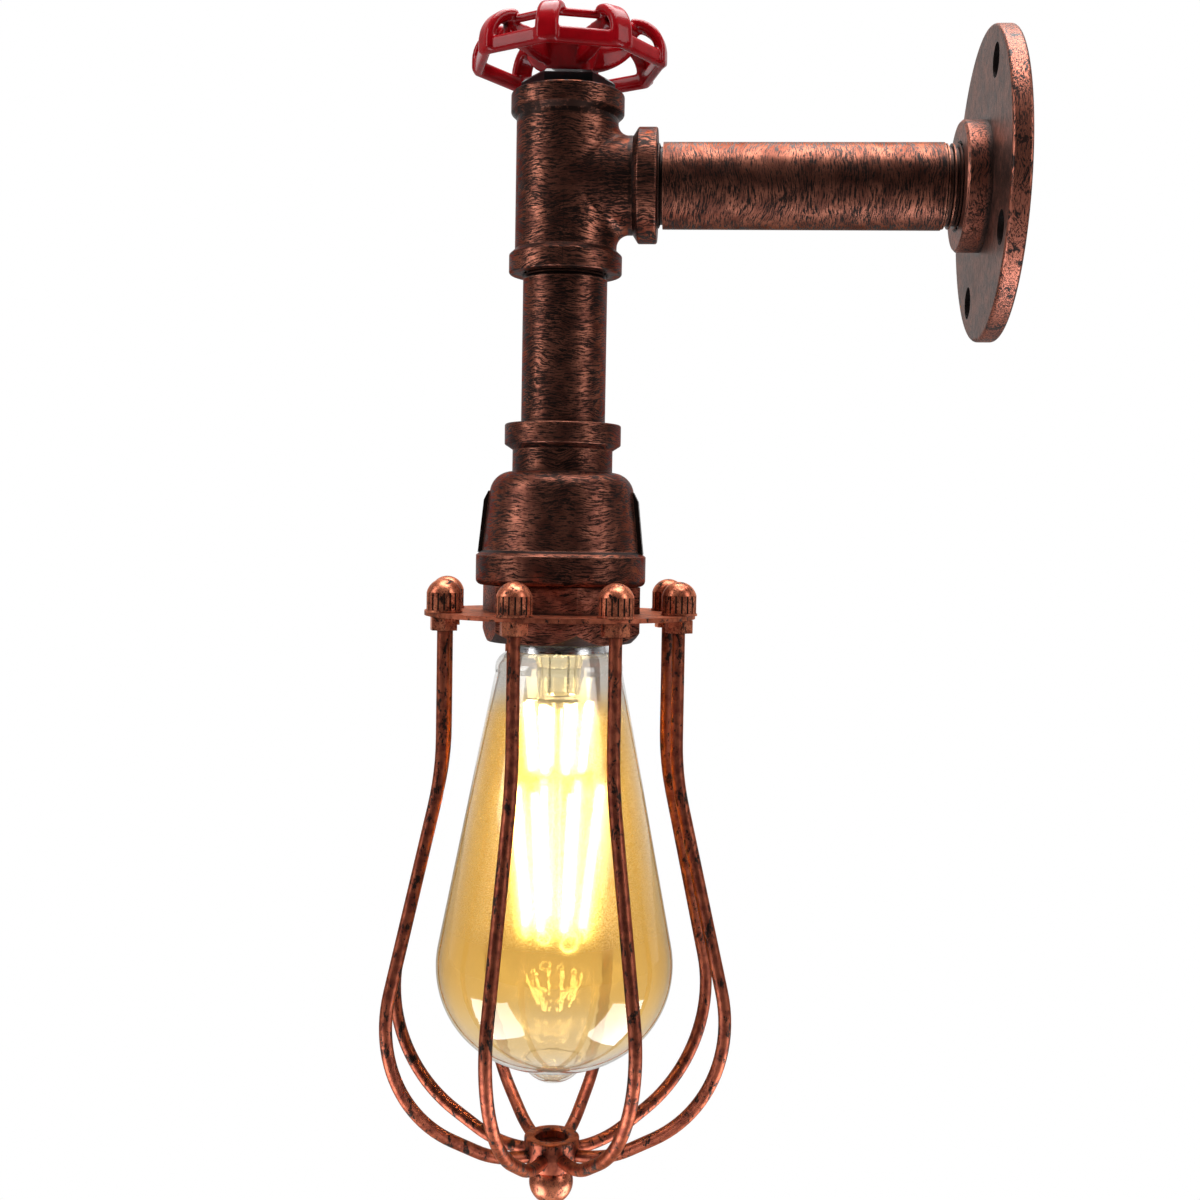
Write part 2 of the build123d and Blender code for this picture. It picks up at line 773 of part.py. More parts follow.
with BuildPart() as ring_nuts:
    with BuildSketch(level(ring_bottom)):
        for wire_angle, spot in zip(wire_angles, cage_spots):
            with Locations(spot):
                RegularPolygon(ring_nut_flats / 2, hex_sides, major_radius=False, rotation=compass(hex_turn))
                Circle(wire_r + touch, mode=Mode.SUBTRACT)
    extrude(amount=-ring_nut_h)
write(ring_nuts, "ring_nuts")

# ---------------------------------------------------------------- cage hub and ball
cage_hub_bottom = cage_hub_top - cage_hub_h
with BuildPart() as cage_hub:
    with BuildSketch(lamp_side):
        with BuildLine():
            Polyline(
                (0, cage_hub_top),
                (cage_hub_r, cage_hub_top),
                (cage_hub_r, wire_end_z),
                (cage_hub_low_r, cage_hub_bottom),
                (0, cage_hub_bottom),
                close=True,
            )
        make_face()
    revolve(axis=lamp_axis)
    hub_crown = cage_hub.faces().sort_by(Axis.Z)[-1].edges()
    fillet(hub_crown, radius=cage_hub_edge)
    with BuildSketch(level(cage_hub_top)):
        Circle(cage_hub_bore_r)
    extrude(amount=-cage_hub_bore_depth, mode=Mode.SUBTRACT)
    hub_mouth = cage_hub.edges().filter_by(GeomType.CIRCLE).group_by(Axis.Z)[-1].sort_by(SortBy.RADIUS)[0]
    chamfer(hub_mouth, length=cage_hub_edge)
    with BuildSketch(level(cage_hub_bottom)):
        Circle(ball_stud_r + touch)
    extrude(amount=ball_stud_h + touch, mode=Mode.SUBTRACT)
    for wire_angle in wire_angles:
        with BuildSketch(facing(wire_angle, wire_end_r - touch)):
            with Locations((0, wire_end_z)):
                Circle(wire_r + touch)
        extrude(amount=cage_hub_r, mode=Mode.SUBTRACT)
write(cage_hub, "cage_hub")

ball_z = cage_hub_bottom - (ball_r**2 - ball_flat_r**2) ** 0.5
with BuildPart() as ball_finial:
    with BuildSketch(lamp_side):
        with BuildLine():
            Line((0, ball_z - ball_r), (0, cage_hub_bottom))
            Line((0, cage_hub_bottom), (ball_flat_r, cage_hub_bottom))
            ThreePointArc(
                (ball_flat_r, cage_hub_bottom),
                (ball_r, ball_z),
                (0, ball_z - ball_r),
            )
        make_face()
    revolve(axis=lamp_axis)
    with BuildSketch(level(cage_hub_bottom)):
        Circle(ball_stud_r)
    extrude(amount=ball_stud_h)
write(ball_finial, "ball_finial")

# ---------------------------------------------------------------- lampholder
holder_top = bell_step_z - touch
shoulder_low = bushing_top + touch
post_spots = {"live": 180, "neutral": 0, "earth": 90}


def post_place(name, radius):
    """Centre of a terminal at the given radius, in a horizontal plane on the lamp axis."""
    a = radians(post_spots[name])
    return (radius * cos(a), radius * sin(a))


with BuildPart() as lampholder_body:
    with BuildSketch(lamp_side):
        with BuildLine():
            Polyline(
                (0, holder_top),
                (bell_socket_r - 2 * touch, holder_top),
                (bell_socket_r - 2 * touch, shoulder_low),
                (skirt_r, shoulder_low),
                (skirt_r, skirt_end),
                (skirt_bore_r, skirt_end),
                (skirt_bore_r, holder_floor),
                (0, holder_floor),
                close=True,
            )
        make_face()
    revolve(axis=lamp_axis)
    with BuildSketch(level(holder_top)):
        with Locations(post_place("live", live_post_at), post_place("neutral", neutral_post_at)):
            Circle(terminal_post_r + touch)
    extrude(amount=holder_floor - holder_top, mode=Mode.SUBTRACT)
write(lampholder_body, "lampholder_body")

shell_top = holder_floor - touch
shell_thread_top = shell_top - shell_plain
shell_turns = int((shell_thread_top - shell_end) / cap_pitch)


def waved(low, high, turns, radius, wave):
    """Rounded waves of a screw shell between two heights, as (radius, height) points."""
    step = (high - low) / turns
    points = [(radius, low)]
    for turn in range(turns):
        at = low + turn * step
        points += [
            (radius, at + wave_shares[0] * step),
            (radius + wave, at + wave_shares[1] * step),
            (radius + wave, at + wave_shares[2] * step),
            (radius, at + wave_shares[3] * step),
        ]
    points.append((radius, high))
    return points


shell_in = waved(shell_end, shell_thread_top, shell_turns, shell_bore_r, shell_wave)
shell_out = waved(shell_end, shell_thread_top, shell_turns, shell_bore_r + shell_wall, shell_wave)
shell_flange_r = neutral_post_at - terminal_post_r
screw_shell = turned(
    shell_in
    + [
        (shell_bore_r, shell_top - shell_wall),
        (shell_flange_r, shell_top - shell_wall),
        (shell_flange_r, shell_top),
        (shell_bore_r + shell_wall, shell_top),
    ]
    + shell_out[::-1]
)
write(screw_shell, "screw_shell")

insulator_top = cap_top + insulator_h
button_top = insulator_top + touch + button_h
tongue_low = button_top + contact_gap
with BuildPart() as centre_contact:
    with BuildSketch(lamp_side):
        with BuildLine():
            Polyline(
                (button_r, tongue_low),
                (-button_r / 2, tongue_low),
                (-button_r, holder_floor - touch - strip_t),
                (-live_post_at - terminal_post_r, holder_floor - touch - strip_t),
                (-live_post_at - terminal_post_r, holder_floor - touch),
                (-button_r + strip_t / 2, holder_floor - touch),
                (-button_r / 2 + strip_t / 2, tongue_low + strip_t),
                (button_r, tongue_low + strip_t),
                close=True,
            )
        make_face()
    extrude(amount=strip_w / 2, both=True)
write(centre_contact, "centre_contact")

block_top = holder_top + touch + terminal_h


def terminal(name, strip_end, post_at=None):
    """Terminal on the lampholder: a block, a strip under it out to strip_end, and its post."""
    turn = post_spots[name]
    with BuildPart() as block:
        with BuildSketch(level(holder_top + touch)):
            with Locations(post_place(name, (terminal_in + strip_end) / 2)):
                Rectangle(strip_end - terminal_in, strip_w, rotation=turn)
        extrude(amount=strip_t)
        with BuildSketch(level(holder_top + touch)):
            with Locations(post_place(name, terminal_in + terminal_l / 2)):
                Rectangle(terminal_l, terminal_w, rotation=turn)
        extrude(amount=terminal_h)
        if post_at is not None:
            with BuildSketch(level(holder_floor)):
                with Locations(post_place(name, post_at)):
                    Circle(terminal_post_r)
            extrude(amount=holder_top + touch - holder_floor)
        with BuildSketch(level(block_top)):
            with Locations(post_place(name, terminal_screw_at)):
                Circle(terminal_screw_r + touch)
        extrude(amount=-terminal_h / 2, mode=Mode.SUBTRACT)
    return block


write(terminal("live", live_post_at + terminal_post_r, live_post_at), "live_terminal")
write(terminal("neutral", neutral_post_at + terminal_post_r, neutral_post_at), "neutral_terminal")
earth_strip_end = ((bell_room_r - touch) ** 2 - (strip_w / 2) ** 2) ** 0.5
write(terminal("earth", earth_strip_end), "earth_terminal")

with BuildPart() as terminal_screws:
    for terminal_name in post_spots:
        screw_at = post_place(terminal_name, terminal_screw_at)
        with BuildSketch(level(block_top)):
            with Locations(screw_at):
                Circle(terminal_screw_r)
        extrude(amount=-terminal_h / 2 + touch)
        with BuildSketch(level(block_top)):
            with Locations(screw_at):
                Circle(terminal_screw_head_r)
        extrude(amount=terminal_screw_head_h)
write(terminal_screws, "terminal_screws")

# ---------------------------------------------------------------- insulated cores in the pipes
core_end = -core_short


def core(offset_x, offset_y, offset_z, bend):
    """One insulated core from its terminal up the down pipe and along the arm to the wall."""
    with BuildPart() as lead:
        with BuildLine(Plane(origin=(-reach, offset_y, 0), x_dir=(1, 0, 0), z_dir=(0, -1, 0))) as route:
            FilletPolyline(
                (offset_x, block_top),
                (offset_x, offset_z),
                (reach + core_end, offset_z),
                radius=bend,
            )
        with BuildSketch(Plane(origin=route.line @ 0, z_dir=route.line % 0)):
            Circle(core_r)
        sweep()
    return lead


write(core(-core_spread, 0, core_spread, core_outer_bend), "live_core")
write(core(core_spread, 0, -core_spread, core_inner_bend), "neutral_core")
write(core(0, core_spread, 0, core_inner_bend), "earth_core")

# ---------------------------------------------------------------- bulb: cap and contact
cap_low = collar_z + collar_h
cap_high = cap_top - cap_slope_h
cap_turns = int((cap_high - cap_low) / cap_pitch)
neck_in = (collar_r - collar_taper, cap_low - collar_step)
cap_out = waved(cap_low, cap_high, cap_turns, cap_root_r, cap_crest_r - cap_root_r)
cap_in = waved(cap_low, cap_high, cap_turns, cap_root_r - cap_wall, cap_crest_r - cap_root_r)
bulb_cap = turned(
    [(collar_r, collar_z), neck_in]
    + cap_out
    + [
        (insulator_low_r, cap_top),
        (insulator_low_r - cap_wall, cap_top),
        (insulator_low_r - cap_wall, cap_top - cap_wall),
    ]
    + cap_in[::-1]
    + [(neck_in[0] - cap_wall, neck_in[1]), (collar_r - cap_wall, collar_z)]
)
write(bulb_cap, "bulb_cap")

bulb_insulator = turned(
    [
        (0, insulator_top),
        (insulator_top_r, insulator_top),
        (insulator_low_r, cap_top + touch),
        (insulator_low_r - cap_wall - touch, cap_top + touch),
        (insulator_low_r - cap_wall - touch, cap_top - cap_wall),
        (0, cap_top - cap_wall),
    ]
)
write(bulb_insulator, "bulb_insulator")

bulb_contact = turned(
    [
        (0, insulator_top + touch),
        (button_r, insulator_top + touch),
        (button_top_r, button_top),
        (0, button_top),
    ]
)
write(bulb_contact, "bulb_contact")

# ---------------------------------------------------------------- bulb: glass
slope = radians(glass_slope)


def glass_outline(skin):
    """Outline of the envelope, skin inside the outer face: neck, cone, belly and pip."""
    belly = belly_arc - skin
    belly_top = (belly_r + belly * cos(slope), belly_z + belly * sin(slope))
    low_angle = atan2(-1, (pip_r - skin - belly_r) / (belly**2 - (pip_r - skin - belly_r) ** 2) ** 0.5)
    belly_low = (belly_r + belly * cos(low_angle), belly_z + belly * sin(low_angle))
    mid_angle = (slope + low_angle) / 2
    belly_mid = (belly_r + belly * cos(mid_angle), belly_z + belly * sin(mid_angle))
    neck = (glass_neck[0] - skin, glass_neck[1])
    shoulder = (glass_shoulder[0] - skin, glass_shoulder[1] - skin / 2)
    start = (collar_r - glass_seat - skin, collar_z - touch)
    tip = (0, belly_low[1] - pip_drop)
    pip_arc = (belly_low[0] ** 2 + pip_drop**2) / (2 * pip_drop)
    pip_half = asin(belly_low[0] / pip_arc) / 2
    pip_mid = (pip_arc * sin(pip_half), tip[1] + pip_arc * (1 - cos(pip_half)))
    return start, shoulder, neck, belly_top, belly_mid, belly_low, pip_mid, tip


with BuildPart() as bulb_glass:
    outer = glass_outline(0)
    inner = glass_outline(glass_wall)
    with BuildSketch(lamp_side):
        with BuildLine():
            for start, shoulder, neck, belly_top, belly_mid, belly_low, pip_mid, tip in (outer, inner):
                ThreePointArc(start, shoulder, neck)
                Line(neck, belly_top)
                ThreePointArc(belly_top, belly_mid, belly_low)
                ThreePointArc(belly_low, pip_mid, tip)
            Line(outer[0], inner[0])
            Line(outer[-1], inner[-1])
        make_face()
    revolve(axis=lamp_axis)
write(bulb_glass, "bulb_glass")

flare_r = collar_r - glass_seat - glass_wall - touch
stem_top = collar_z - stem_drop
bulb_stem = turned(
    [
        (flare_r, stem_top + flare_h),
        (stem_r + flare_w, stem_top),
        (stem_r, stem_top - flare_throat_h),
        (stem_r, stem_end),
        (rod_r, stem_end - pinch_out_h),
        (rod_r, rod_end),
        (0, rod_end),
        (0, stem_end + pinch_in[0]),
        (stem_r - stem_wall, stem_end + pinch_in[1]),
        (stem_r - stem_wall, stem_top - flare_throat_h + stem_wall / 2),
        (stem_r + flare_w - stem_wall, stem_top + stem_wall),
        (flare_r, stem_top + flare_h + stem_wall),
    ]
)
write(bulb_stem, "bulb_stem")


# ---------------------------------------------------------------- bulb: filament sticks and wires
def tier(ends, name):
    """A ring of straight filament sticks from the upper to the lower (radius, height) end."""
    (top_r, top_z), (low_r, low_z) = ends
    with BuildPart() as sticks:
        for stick in range(stick_count):
            side = around((stick + 0.5) * 360 / stick_count)
            high = side.from_local_coords((top_r, top_z, 0))
            low = side.from_local_coords((low_r, low_z, 0))
            with BuildSketch(Plane(origin=high, z_dir=low - high)):
                Circle(stick_r)
            extrude(amount=(low - high).length)
    write(sticks, name)


tier(upper_tier, "upper_filaments")
tier(lower_tier, "lower_filaments")

ring_levels = (
    (upper_tier[0][0], upper_tier[0][1] + lead_r + stick_r / 4, stem_r),
    (upper_tier[1][0], upper_tier[1][1] - lead_r - stick_r / 4, rod_r),
    (lower_tier[0][0], lower_tier[0][1] + lead_r + stick_r / 4, rod_r),
    (lower_tier[1][0], lower_tier[1][1] - lead_r - stick_r / 4, rod_r),
)
with BuildPart() as support_wires:
    for hoop_r, hoop_z, core_reach in ring_levels:
        with BuildSketch(lamp_side):
            with Locations((hoop_r, hoop_z)):
                Circle(lead_r)
        revolve(axis=lamp_axis)
        for arm in range(hoop_arms):
            with BuildSketch(facing(arm * 360 / hoop_arms, core_reach + touch)):
                with Locations((0, hoop_z)):
                    Circle(hoop_arm_r)
            extrude(amount=hoop_r - core_reach - touch)
    with BuildSketch(level(board_z - touch)):
        with Locations((-lead_spread, 0), (lead_spread, 0)):
            Circle(lead_r)
    extrude(amount=stem_end + lead_in_stem - board_z)
write(support_wires, "support_wires")

with BuildPart() as driver_board:
    with BuildSketch(level(board_z)):
        Circle(board_r)
    extrude(amount=board_t)
    with BuildSketch(level(board_z + board_t)):
        with Locations((-board_r / 2, 0)):
            Circle(capacitor_r)
    extrude(amount=capacitor_h)
    with BuildSketch(level(board_z + board_t)):
        with Locations((board_r / 2, 0)):
            Rectangle(chip_size[0], chip_size[1])
    extrude(amount=chip_size[2])
write(driver_board, "driver_board")
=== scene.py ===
"""Looks of the industrial pipe wall light: materials, the lit bulb, the studio and the camera.

Metres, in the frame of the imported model: origin at the centre of the wall flange's back face,
+Z up, +X into the wall. The lamp hangs on the vertical axis at x = LAMP_X.
"""
import math

import bpy
from mathutils import Matrix, Vector


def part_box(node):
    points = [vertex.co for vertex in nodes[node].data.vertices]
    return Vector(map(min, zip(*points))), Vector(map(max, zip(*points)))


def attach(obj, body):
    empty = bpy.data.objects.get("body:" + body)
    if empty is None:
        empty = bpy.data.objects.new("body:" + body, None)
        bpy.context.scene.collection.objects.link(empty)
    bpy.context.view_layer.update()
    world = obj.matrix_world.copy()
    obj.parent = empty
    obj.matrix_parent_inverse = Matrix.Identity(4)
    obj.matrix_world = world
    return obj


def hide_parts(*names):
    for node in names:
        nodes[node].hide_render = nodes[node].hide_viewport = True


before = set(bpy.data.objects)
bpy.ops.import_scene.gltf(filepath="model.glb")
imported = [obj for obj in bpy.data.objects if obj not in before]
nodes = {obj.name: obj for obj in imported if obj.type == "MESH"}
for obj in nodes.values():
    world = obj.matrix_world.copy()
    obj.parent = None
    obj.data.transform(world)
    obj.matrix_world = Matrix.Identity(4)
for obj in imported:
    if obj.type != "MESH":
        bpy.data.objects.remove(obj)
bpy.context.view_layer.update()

MM = 0.001

# ---------------------------------------------------------------- sizes and places on the light
glass_low, glass_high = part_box("bulb_glass")
LAMP_X = (glass_low.x + glass_high.x) / 2

# wall flange
FLANGE_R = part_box("wall_flange")[1].y
FLANGE_RIM = 1.2 * MM                   # width of its turned rim
HUB_LOW_X = -6.1 * MM                   # the hub stands beyond this
SCREW_CIRCLE_R = 32.0 * MM
SCREW_HOLE_R = 4.3 * MM
SCREW_COUNT = 4
SCREW_PHASE = 30.0                      # degrees from +Z to the first hole

# tee: the stretches beside its bands, where shade is painted, and its parting line
BRANCH_ROOT_X = LAMP_X + 17.9 * MM
TEE_UPPER_Z = (15.7 * MM, 18.7 * MM)
TEE_LOWER_Z = (-18.2 * MM, -17.0 * MM)
TEE_LOWER_SHARE = 0.7                   # of the black, which is thinner there
TEE_BRANCH_X = (BRANCH_ROOT_X - 1.3 * MM, BRANCH_ROOT_X + 0.6 * MM)
SEAM_SHIFT = 0.4 * MM
SEAM_TOP_Z = -2.0 * MM
SEAM_FADE = 4 * MM

# bell: its side lugs, which are painted in shade, and its wall at their upper and lower ends
LUG_TOP_Z = -81.0 * MM
LUG_LOW_Z = -97.4 * MM
LUG_TOP_R = 19.25 * MM
LUG_LOW_R = 21.0 * MM

# cage
WIRE_COUNT = 8
WIRE_PHASE = math.radians(-15.0)        # from the lamp's front to the first wire
CAGE_TOP_R = 33.1 * MM
CAP_NUT_R = 4.5 * MM
FLUTE_LOW_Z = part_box("cap_nuts")[0].z + 0.6 * MM
FLUTE_TOP_Z = FLUTE_LOW_Z + 4.6 * MM

# bulb: heights where its coat and its glow change
STEM_LIT_Z = -156 * MM
NECK_Z = -137 * MM
CLEAR_Z = -198 * MM
LOW_Z = -214 * MM
TIP_Z = glass_low.z + 14 * MM
FILAMENT_FOOT_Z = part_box("lower_filaments")[0].z

# loose lead wire at the filaments' feet
CURL_COUNT = 8
CURL_PHASE = -60                        # degrees
CURL_CIRCLE_R = 8.2 * MM
CURL_WIRE_R = 0.25 * MM
CURL_TURNS = 1.1
CURL_STEPS = 28
CURL_CLOSING = 0.35                     # share of its radius that a curl loses
CURL_DRIFT = 1.2 * MM                   # outwards, over a curl
BIG_CURL = 3.0 * MM


# ---------------------------------------------------------------- camera
CAMERA_PLACE = Vector((-77.1 * MM, -406.4 * MM, -92.3 * MM))
CAMERA_YAW = math.radians(3.62)         # left of +Y
CAMERA_PITCH = math.radians(2.45)       # downwards
CAMERA_ROLL = math.radians(0.97)
CAMERA_CLIP = 10 * MM
CAMERA_LENS = 45.66                     # millimetres, and so is the sensor
SENSOR = 36.0


def in_scene(name, data):
    """A new object with this data, linked to the scene."""
    new = bpy.data.objects.new(name, data)
    bpy.context.scene.collection.objects.link(new)
    return new


def set_camera():
    """Camera at the photograph's viewing angle."""
    yaw, pitch, roll = CAMERA_YAW, CAMERA_PITCH, CAMERA_ROLL
    ahead = Vector((
        -math.sin(yaw) * math.cos(pitch),
        math.cos(yaw) * math.cos(pitch),
        -math.sin(pitch),
    ))
    right = Vector((math.cos(yaw), math.sin(yaw), 0))
    up = right.cross(ahead)
    right_rolled = math.cos(roll) * right + math.sin(roll) * up
    up_rolled = math.cos(roll) * up - math.sin(roll) * right
    turn = Matrix((right_rolled, up_rolled, -ahead)).transposed()
    data = bpy.data.cameras.new("photo_camera")
    data.sensor_width = SENSOR
    data.sensor_fit = "HORIZONTAL"
    data.lens = CAMERA_LENS
    data.clip_start = CAMERA_CLIP
    camera = in_scene("photo_camera", data)
    camera.matrix_world = Matrix.Translation(CAMERA_PLACE) @ turn.to_4x4()
    bpy.context.scene.camera = camera


set_camera()
bpy.context.scene.view_settings.view_transform = "Standard"


# ---------------------------------------------------------------- node helpers
# The Mix node's sockets share their names, so they are told apart by number.
MIX_VALUES = (2, 3)
MIX_COLOURS = (6, 7)
MIX_COLOUR_OUT = 2


def set_inputs(tree, node, inputs):
    """Sets a node's inputs; each is a value or the socket that feeds it."""
    for key, value in inputs.items():
        if isinstance(value, bpy.types.NodeSocket):
            tree.links.new(value, node.inputs[key])
        else:
            node.inputs[key].default_value = value


def add(tree, kind, inputs=None, **settings):
    """Adds a shader node with its settings and inputs."""
    node = tree.nodes.new(kind)
    for key, value in settings.items():
        setattr(node, key, value)
    set_inputs(tree, node, inputs or {})
    return node


def new_material(name):
    """An empty material with its tree, Principled shader and output."""
    material = bpy.data.materials.new(name)
    material.use_nodes = True
    tree = material.node_tree
    tree.nodes.clear()
    surface = add(tree, "ShaderNodeBsdfPrincipled")
    output = add(tree, "ShaderNodeOutputMaterial", {"Surface": surface.outputs[0]})
    return material, tree, surface, output


def object_place(tree):
    """Position on the object at rest, in metres."""
    return add(tree, "ShaderNodeTexCoord").outputs["Object"]


def noise(tree, place, scale, detail=3.0, roughness=0.55, distortion=0.0):
    """Noise from 0 to 1; scale is one number for all axes, or one for each."""
    if isinstance(scale, (int, float)):
        scale = (scale, scale, scale)
    spread = add(tree, "ShaderNodeMapping", {"Vector": place, "Scale": scale})
    return add(tree, "ShaderNodeTexNoise", {
        "Vector": spread.outputs[0],
        "Scale": 1.0,
        "Detail": detail,
        "Roughness": roughness,
        "Distortion": distortion,
    }).outputs["Fac"]


def bump(tree, strength, distance, height):
    """Normals of a surface that stands out by distance where height is 1."""
    return add(tree, "ShaderNodeBump", {
        "Strength": strength,
        "Distance": distance,
        "Height": height,
    }).outputs[0]


def ramp(tree, value, low, high, bottom=0.0, top=1.0):
    """Maps value from low..high to bottom..top, smoothly and clamped."""
    return add(tree, "ShaderNodeMapRange", {
        "Value": value,
        "From Min": low,
        "From Max": high,
        "To Min": bottom,
        "To Max": top,
    }, interpolation_type="SMOOTHSTEP").outputs[0]


def fall(tree, value, low, high, top=1.0):
    """Falls from top, where value is low, to 0, where it is high, smoothly and clamped."""
    return ramp(tree, value, low, high, top, 0.0)


def maths(tree, operation, first, second=0.0, clamp=False):
    """One arithmetic step on one or two sockets or values."""
    inputs = {0: first, 1: second}
    return add(tree, "ShaderNodeMath", inputs, operation=operation, use_clamp=clamp).outputs[0]


def plus(tree, first, second):
    """The sum."""
    return maths(tree, "ADD", first, second)


def minus(tree, first, second):
    """The difference."""
    return maths(tree, "SUBTRACT", first, second)


def times(tree, first, second):
    """The product."""
    return maths(tree, "MULTIPLY", first, second)


def larger(tree, first, second):
    """The larger of the two."""
    return maths(tree, "MAXIMUM", first, second)


def diagonal(tree, first, second):
    """Length of the diagonal over two sides."""
    squares = plus(tree, times(tree, first, first), times(tree, second, second))
    return maths(tree, "POWER", squares, 0.5)


def between(tree, value, low, high, soft):
    """1 where value lies between low and high, 0 outside."""
    above = ramp(tree, value, low - soft, low + soft)
    below = fall(tree, value, high - soft, high + soft)
    return times(tree, above, below)


def blend_value(tree, share, first, second):
    """Value from first, where share is 0, to second, where it is 1."""
    inputs = {0: share, MIX_VALUES[0]: first, MIX_VALUES[1]: second}
    return add(tree, "ShaderNodeMix", inputs, data_type="FLOAT").outputs[0]


def blend_colour(tree, share, first, second):
    """Colour from first, where share is 0, to second, where it is 1."""
    mix = add(tree, "ShaderNodeMix", {"Factor": share}, data_type="RGBA")
    for socket, colour in zip(MIX_COLOURS, (first, second)):
        is_socket = isinstance(colour, bpy.types.NodeSocket)
        set_inputs(tree, mix, {socket: colour if is_socket else (*colour, 1.0)})
    return mix.outputs[MIX_COLOUR_OUT]


def vector_maths(tree, operation, inputs, result="Vector"):
    """One step of vector arithmetic."""
    return add(tree, "ShaderNodeVectorMath", inputs, operation=operation).outputs[result]


def split_xyz(tree, vector):
    """The X, Y and Z of a vector."""
    outputs = add(tree, "ShaderNodeSeparateXYZ", {0: vector}).outputs
    return outputs["X"], outputs["Y"], outputs["Z"]


def drifted(tree, place, scale, reach):
    """The place, wandered by up to reach metres in slow waves."""
    wander = add(tree, "ShaderNodeTexNoise", {"Vector": place, "Scale": scale, "Detail": 2.0})
    centred = vector_maths(tree, "SUBTRACT", {0: wander.outputs["Color"], 1: (0.5, 0.5, 0.5)})
    drift = vector_maths(tree, "SCALE", {0: centred, "Scale": 2 * reach})
    return vector_maths(tree, "ADD", {0: place, 1: drift})


def seen_straight(tree, path):
    """1 for what the eye sees in the open or through glass, 0 after any reflection."""
    direct = larger(tree, path.outputs["Is Camera Ray"], path.outputs["Is Transmission Ray"])
    bounces = plus(tree, path.outputs["Glossy Depth"], path.outputs["Diffuse Depth"])
    return times(tree, direct, maths(tree, "SUBTRACT", 1.0, bounces, clamp=True))


def dress(material, *names):
    """Gives a material to CAD nodes."""
    for name in names:
        for slot in nodes[name].material_slots:
            slot.material = material


# ---------------------------------------------------------------- wear
def worn_edge(tree, radius):
    """1 on convex edges, 0 on open faces."""
    rounded = add(tree, "ShaderNodeBevel", {"Radius": radius}, samples=4).outputs[0]
    flat = add(tree, "ShaderNodeNewGeometry").outputs["Normal"]
    along = vector_maths(tree, "DOT_PRODUCT", {0: rounded, 1: flat}, "Value")
    return fall(tree, along, 0.86, 0.995)


def rubbed(tree, black, edge, share):
    """Black with this share of it rubbed off on the edges."""
    return times(tree, black, minus(tree, 1.0, times(tree, edge, share)))


def crevice_shade(tree, distance):
    """1 in crevices, 0 in the open: where shade is painted."""
    inputs = {"Distance": distance}
    open_share = add(tree, "ShaderNodeAmbientOcclusion", inputs, samples=8).outputs["AO"]
    return fall(tree, open_share, 0.46, 0.90)


# ---------------------------------------------------------------- black marks on single pieces
# Each of these gives 1 where the piece is black, from real marks or painted shade; flange_rims gives 1
# where it is rubbed bright.
RAGGED = {"detail": 5.0, "roughness": 0.7}      # noise with torn edges


def underside_shade(tree, place):
    """Painted shade on faces that look down."""
    normal = add(tree, "ShaderNodeNewGeometry").outputs["Normal"]
    upward = split_xyz(tree, normal)[2]
    return fall(tree, upward, -0.45, -0.2, top=0.95)


def lug_shade(tree, place):
    """Painted shade on the bell's two side lugs, which stand outside its cone."""
    x, y, height = split_xyz(tree, place)
    radius = diagonal(tree, minus(tree, x, LAMP_X), y)
    lean = (LUG_LOW_R - LUG_TOP_R) / (LUG_TOP_Z - LUG_LOW_Z)
    wall = times(tree, minus(tree, LUG_TOP_Z, height), lean)
    outside = minus(tree, radius, plus(tree, wall, LUG_TOP_R))
    mask = ramp(tree, outside, 0.05 * MM, 0.22 * MM)
    return times(tree, mask, between(tree, height, LUG_LOW_Z, LUG_TOP_Z, soft=0.1 * MM))


def mould_seam(tree, place):
    """Fine dark parting line down the front and back of the tee."""
    x, _, z = split_xyz(tree, drifted(tree, place, scale=120.0, reach=0.5 * MM))
    aside = maths(tree, "ABSOLUTE", minus(tree, x, LAMP_X + SEAM_SHIFT))
    line = fall(tree, aside, 0.05 * MM, 0.2 * MM, top=0.85)
    return times(tree, line, fall(tree, z, SEAM_TOP_Z - SEAM_FADE, SEAM_TOP_Z))


def tee_seam_and_shade(tree, place):
    """The tee's seam, and painted shade beside its bands: below the upper, above the lower and by the
    branch's.
    """
    x, _, z = split_xyz(tree, drifted(tree, place, scale=160.0, reach=0.8 * MM))
    # Painted shade in the stretches beside the bands, torn at its edges.
    upper = between(tree, z, *TEE_UPPER_Z, soft=0.4 * MM)
    lower = between(tree, z, *TEE_LOWER_Z, soft=0.3 * MM)
    side = between(tree, x, *TEE_BRANCH_X, soft=0.4 * MM)
    ragged = ramp(tree, noise(tree, place, 420.0, **RAGGED), 0.42, 0.52, 0.5, 0.98)
    band_shade = larger(tree, larger(tree, upper, side), times(tree, lower, TEE_LOWER_SHARE))
    return larger(tree, mould_seam(tree, place), times(tree, band_shade, ragged))


def flange_rims(tree, place):
    """The flange's turned rim and hub."""
    x, y, z = split_xyz(tree, place)
    rim = ramp(tree, diagonal(tree, y, z), FLANGE_R - FLANGE_RIM, FLANGE_R - FLANGE_RIM / 3)
    return larger(tree, rim, fall(tree, x, HUB_LOW_X - 0.5 * MM, HUB_LOW_X, top=0.8))


def screw_hole_shade(tree, place):
    """Painted shade in and round the flange's screw holes."""
    _, y, z = split_xyz(tree, place)
    flat = add(tree, "ShaderNodeCombineXYZ", {"Y": y, "Z": z}).outputs[0]
    black = 0.0
    for count in range(SCREW_COUNT):
        turn = math.radians(SCREW_PHASE + 360 / SCREW_COUNT * count)
        centre = (0.0, -SCREW_CIRCLE_R * math.sin(turn), SCREW_CIRCLE_R * math.cos(turn))
        away = vector_maths(tree, "DISTANCE", {0: flat, 1: centre}, "Value")
        hole = fall(tree, away, SCREW_HOLE_R + 0.02 * MM, SCREW_HOLE_R + 0.3 * MM)
        black = larger(tree, hole, black)
    return black


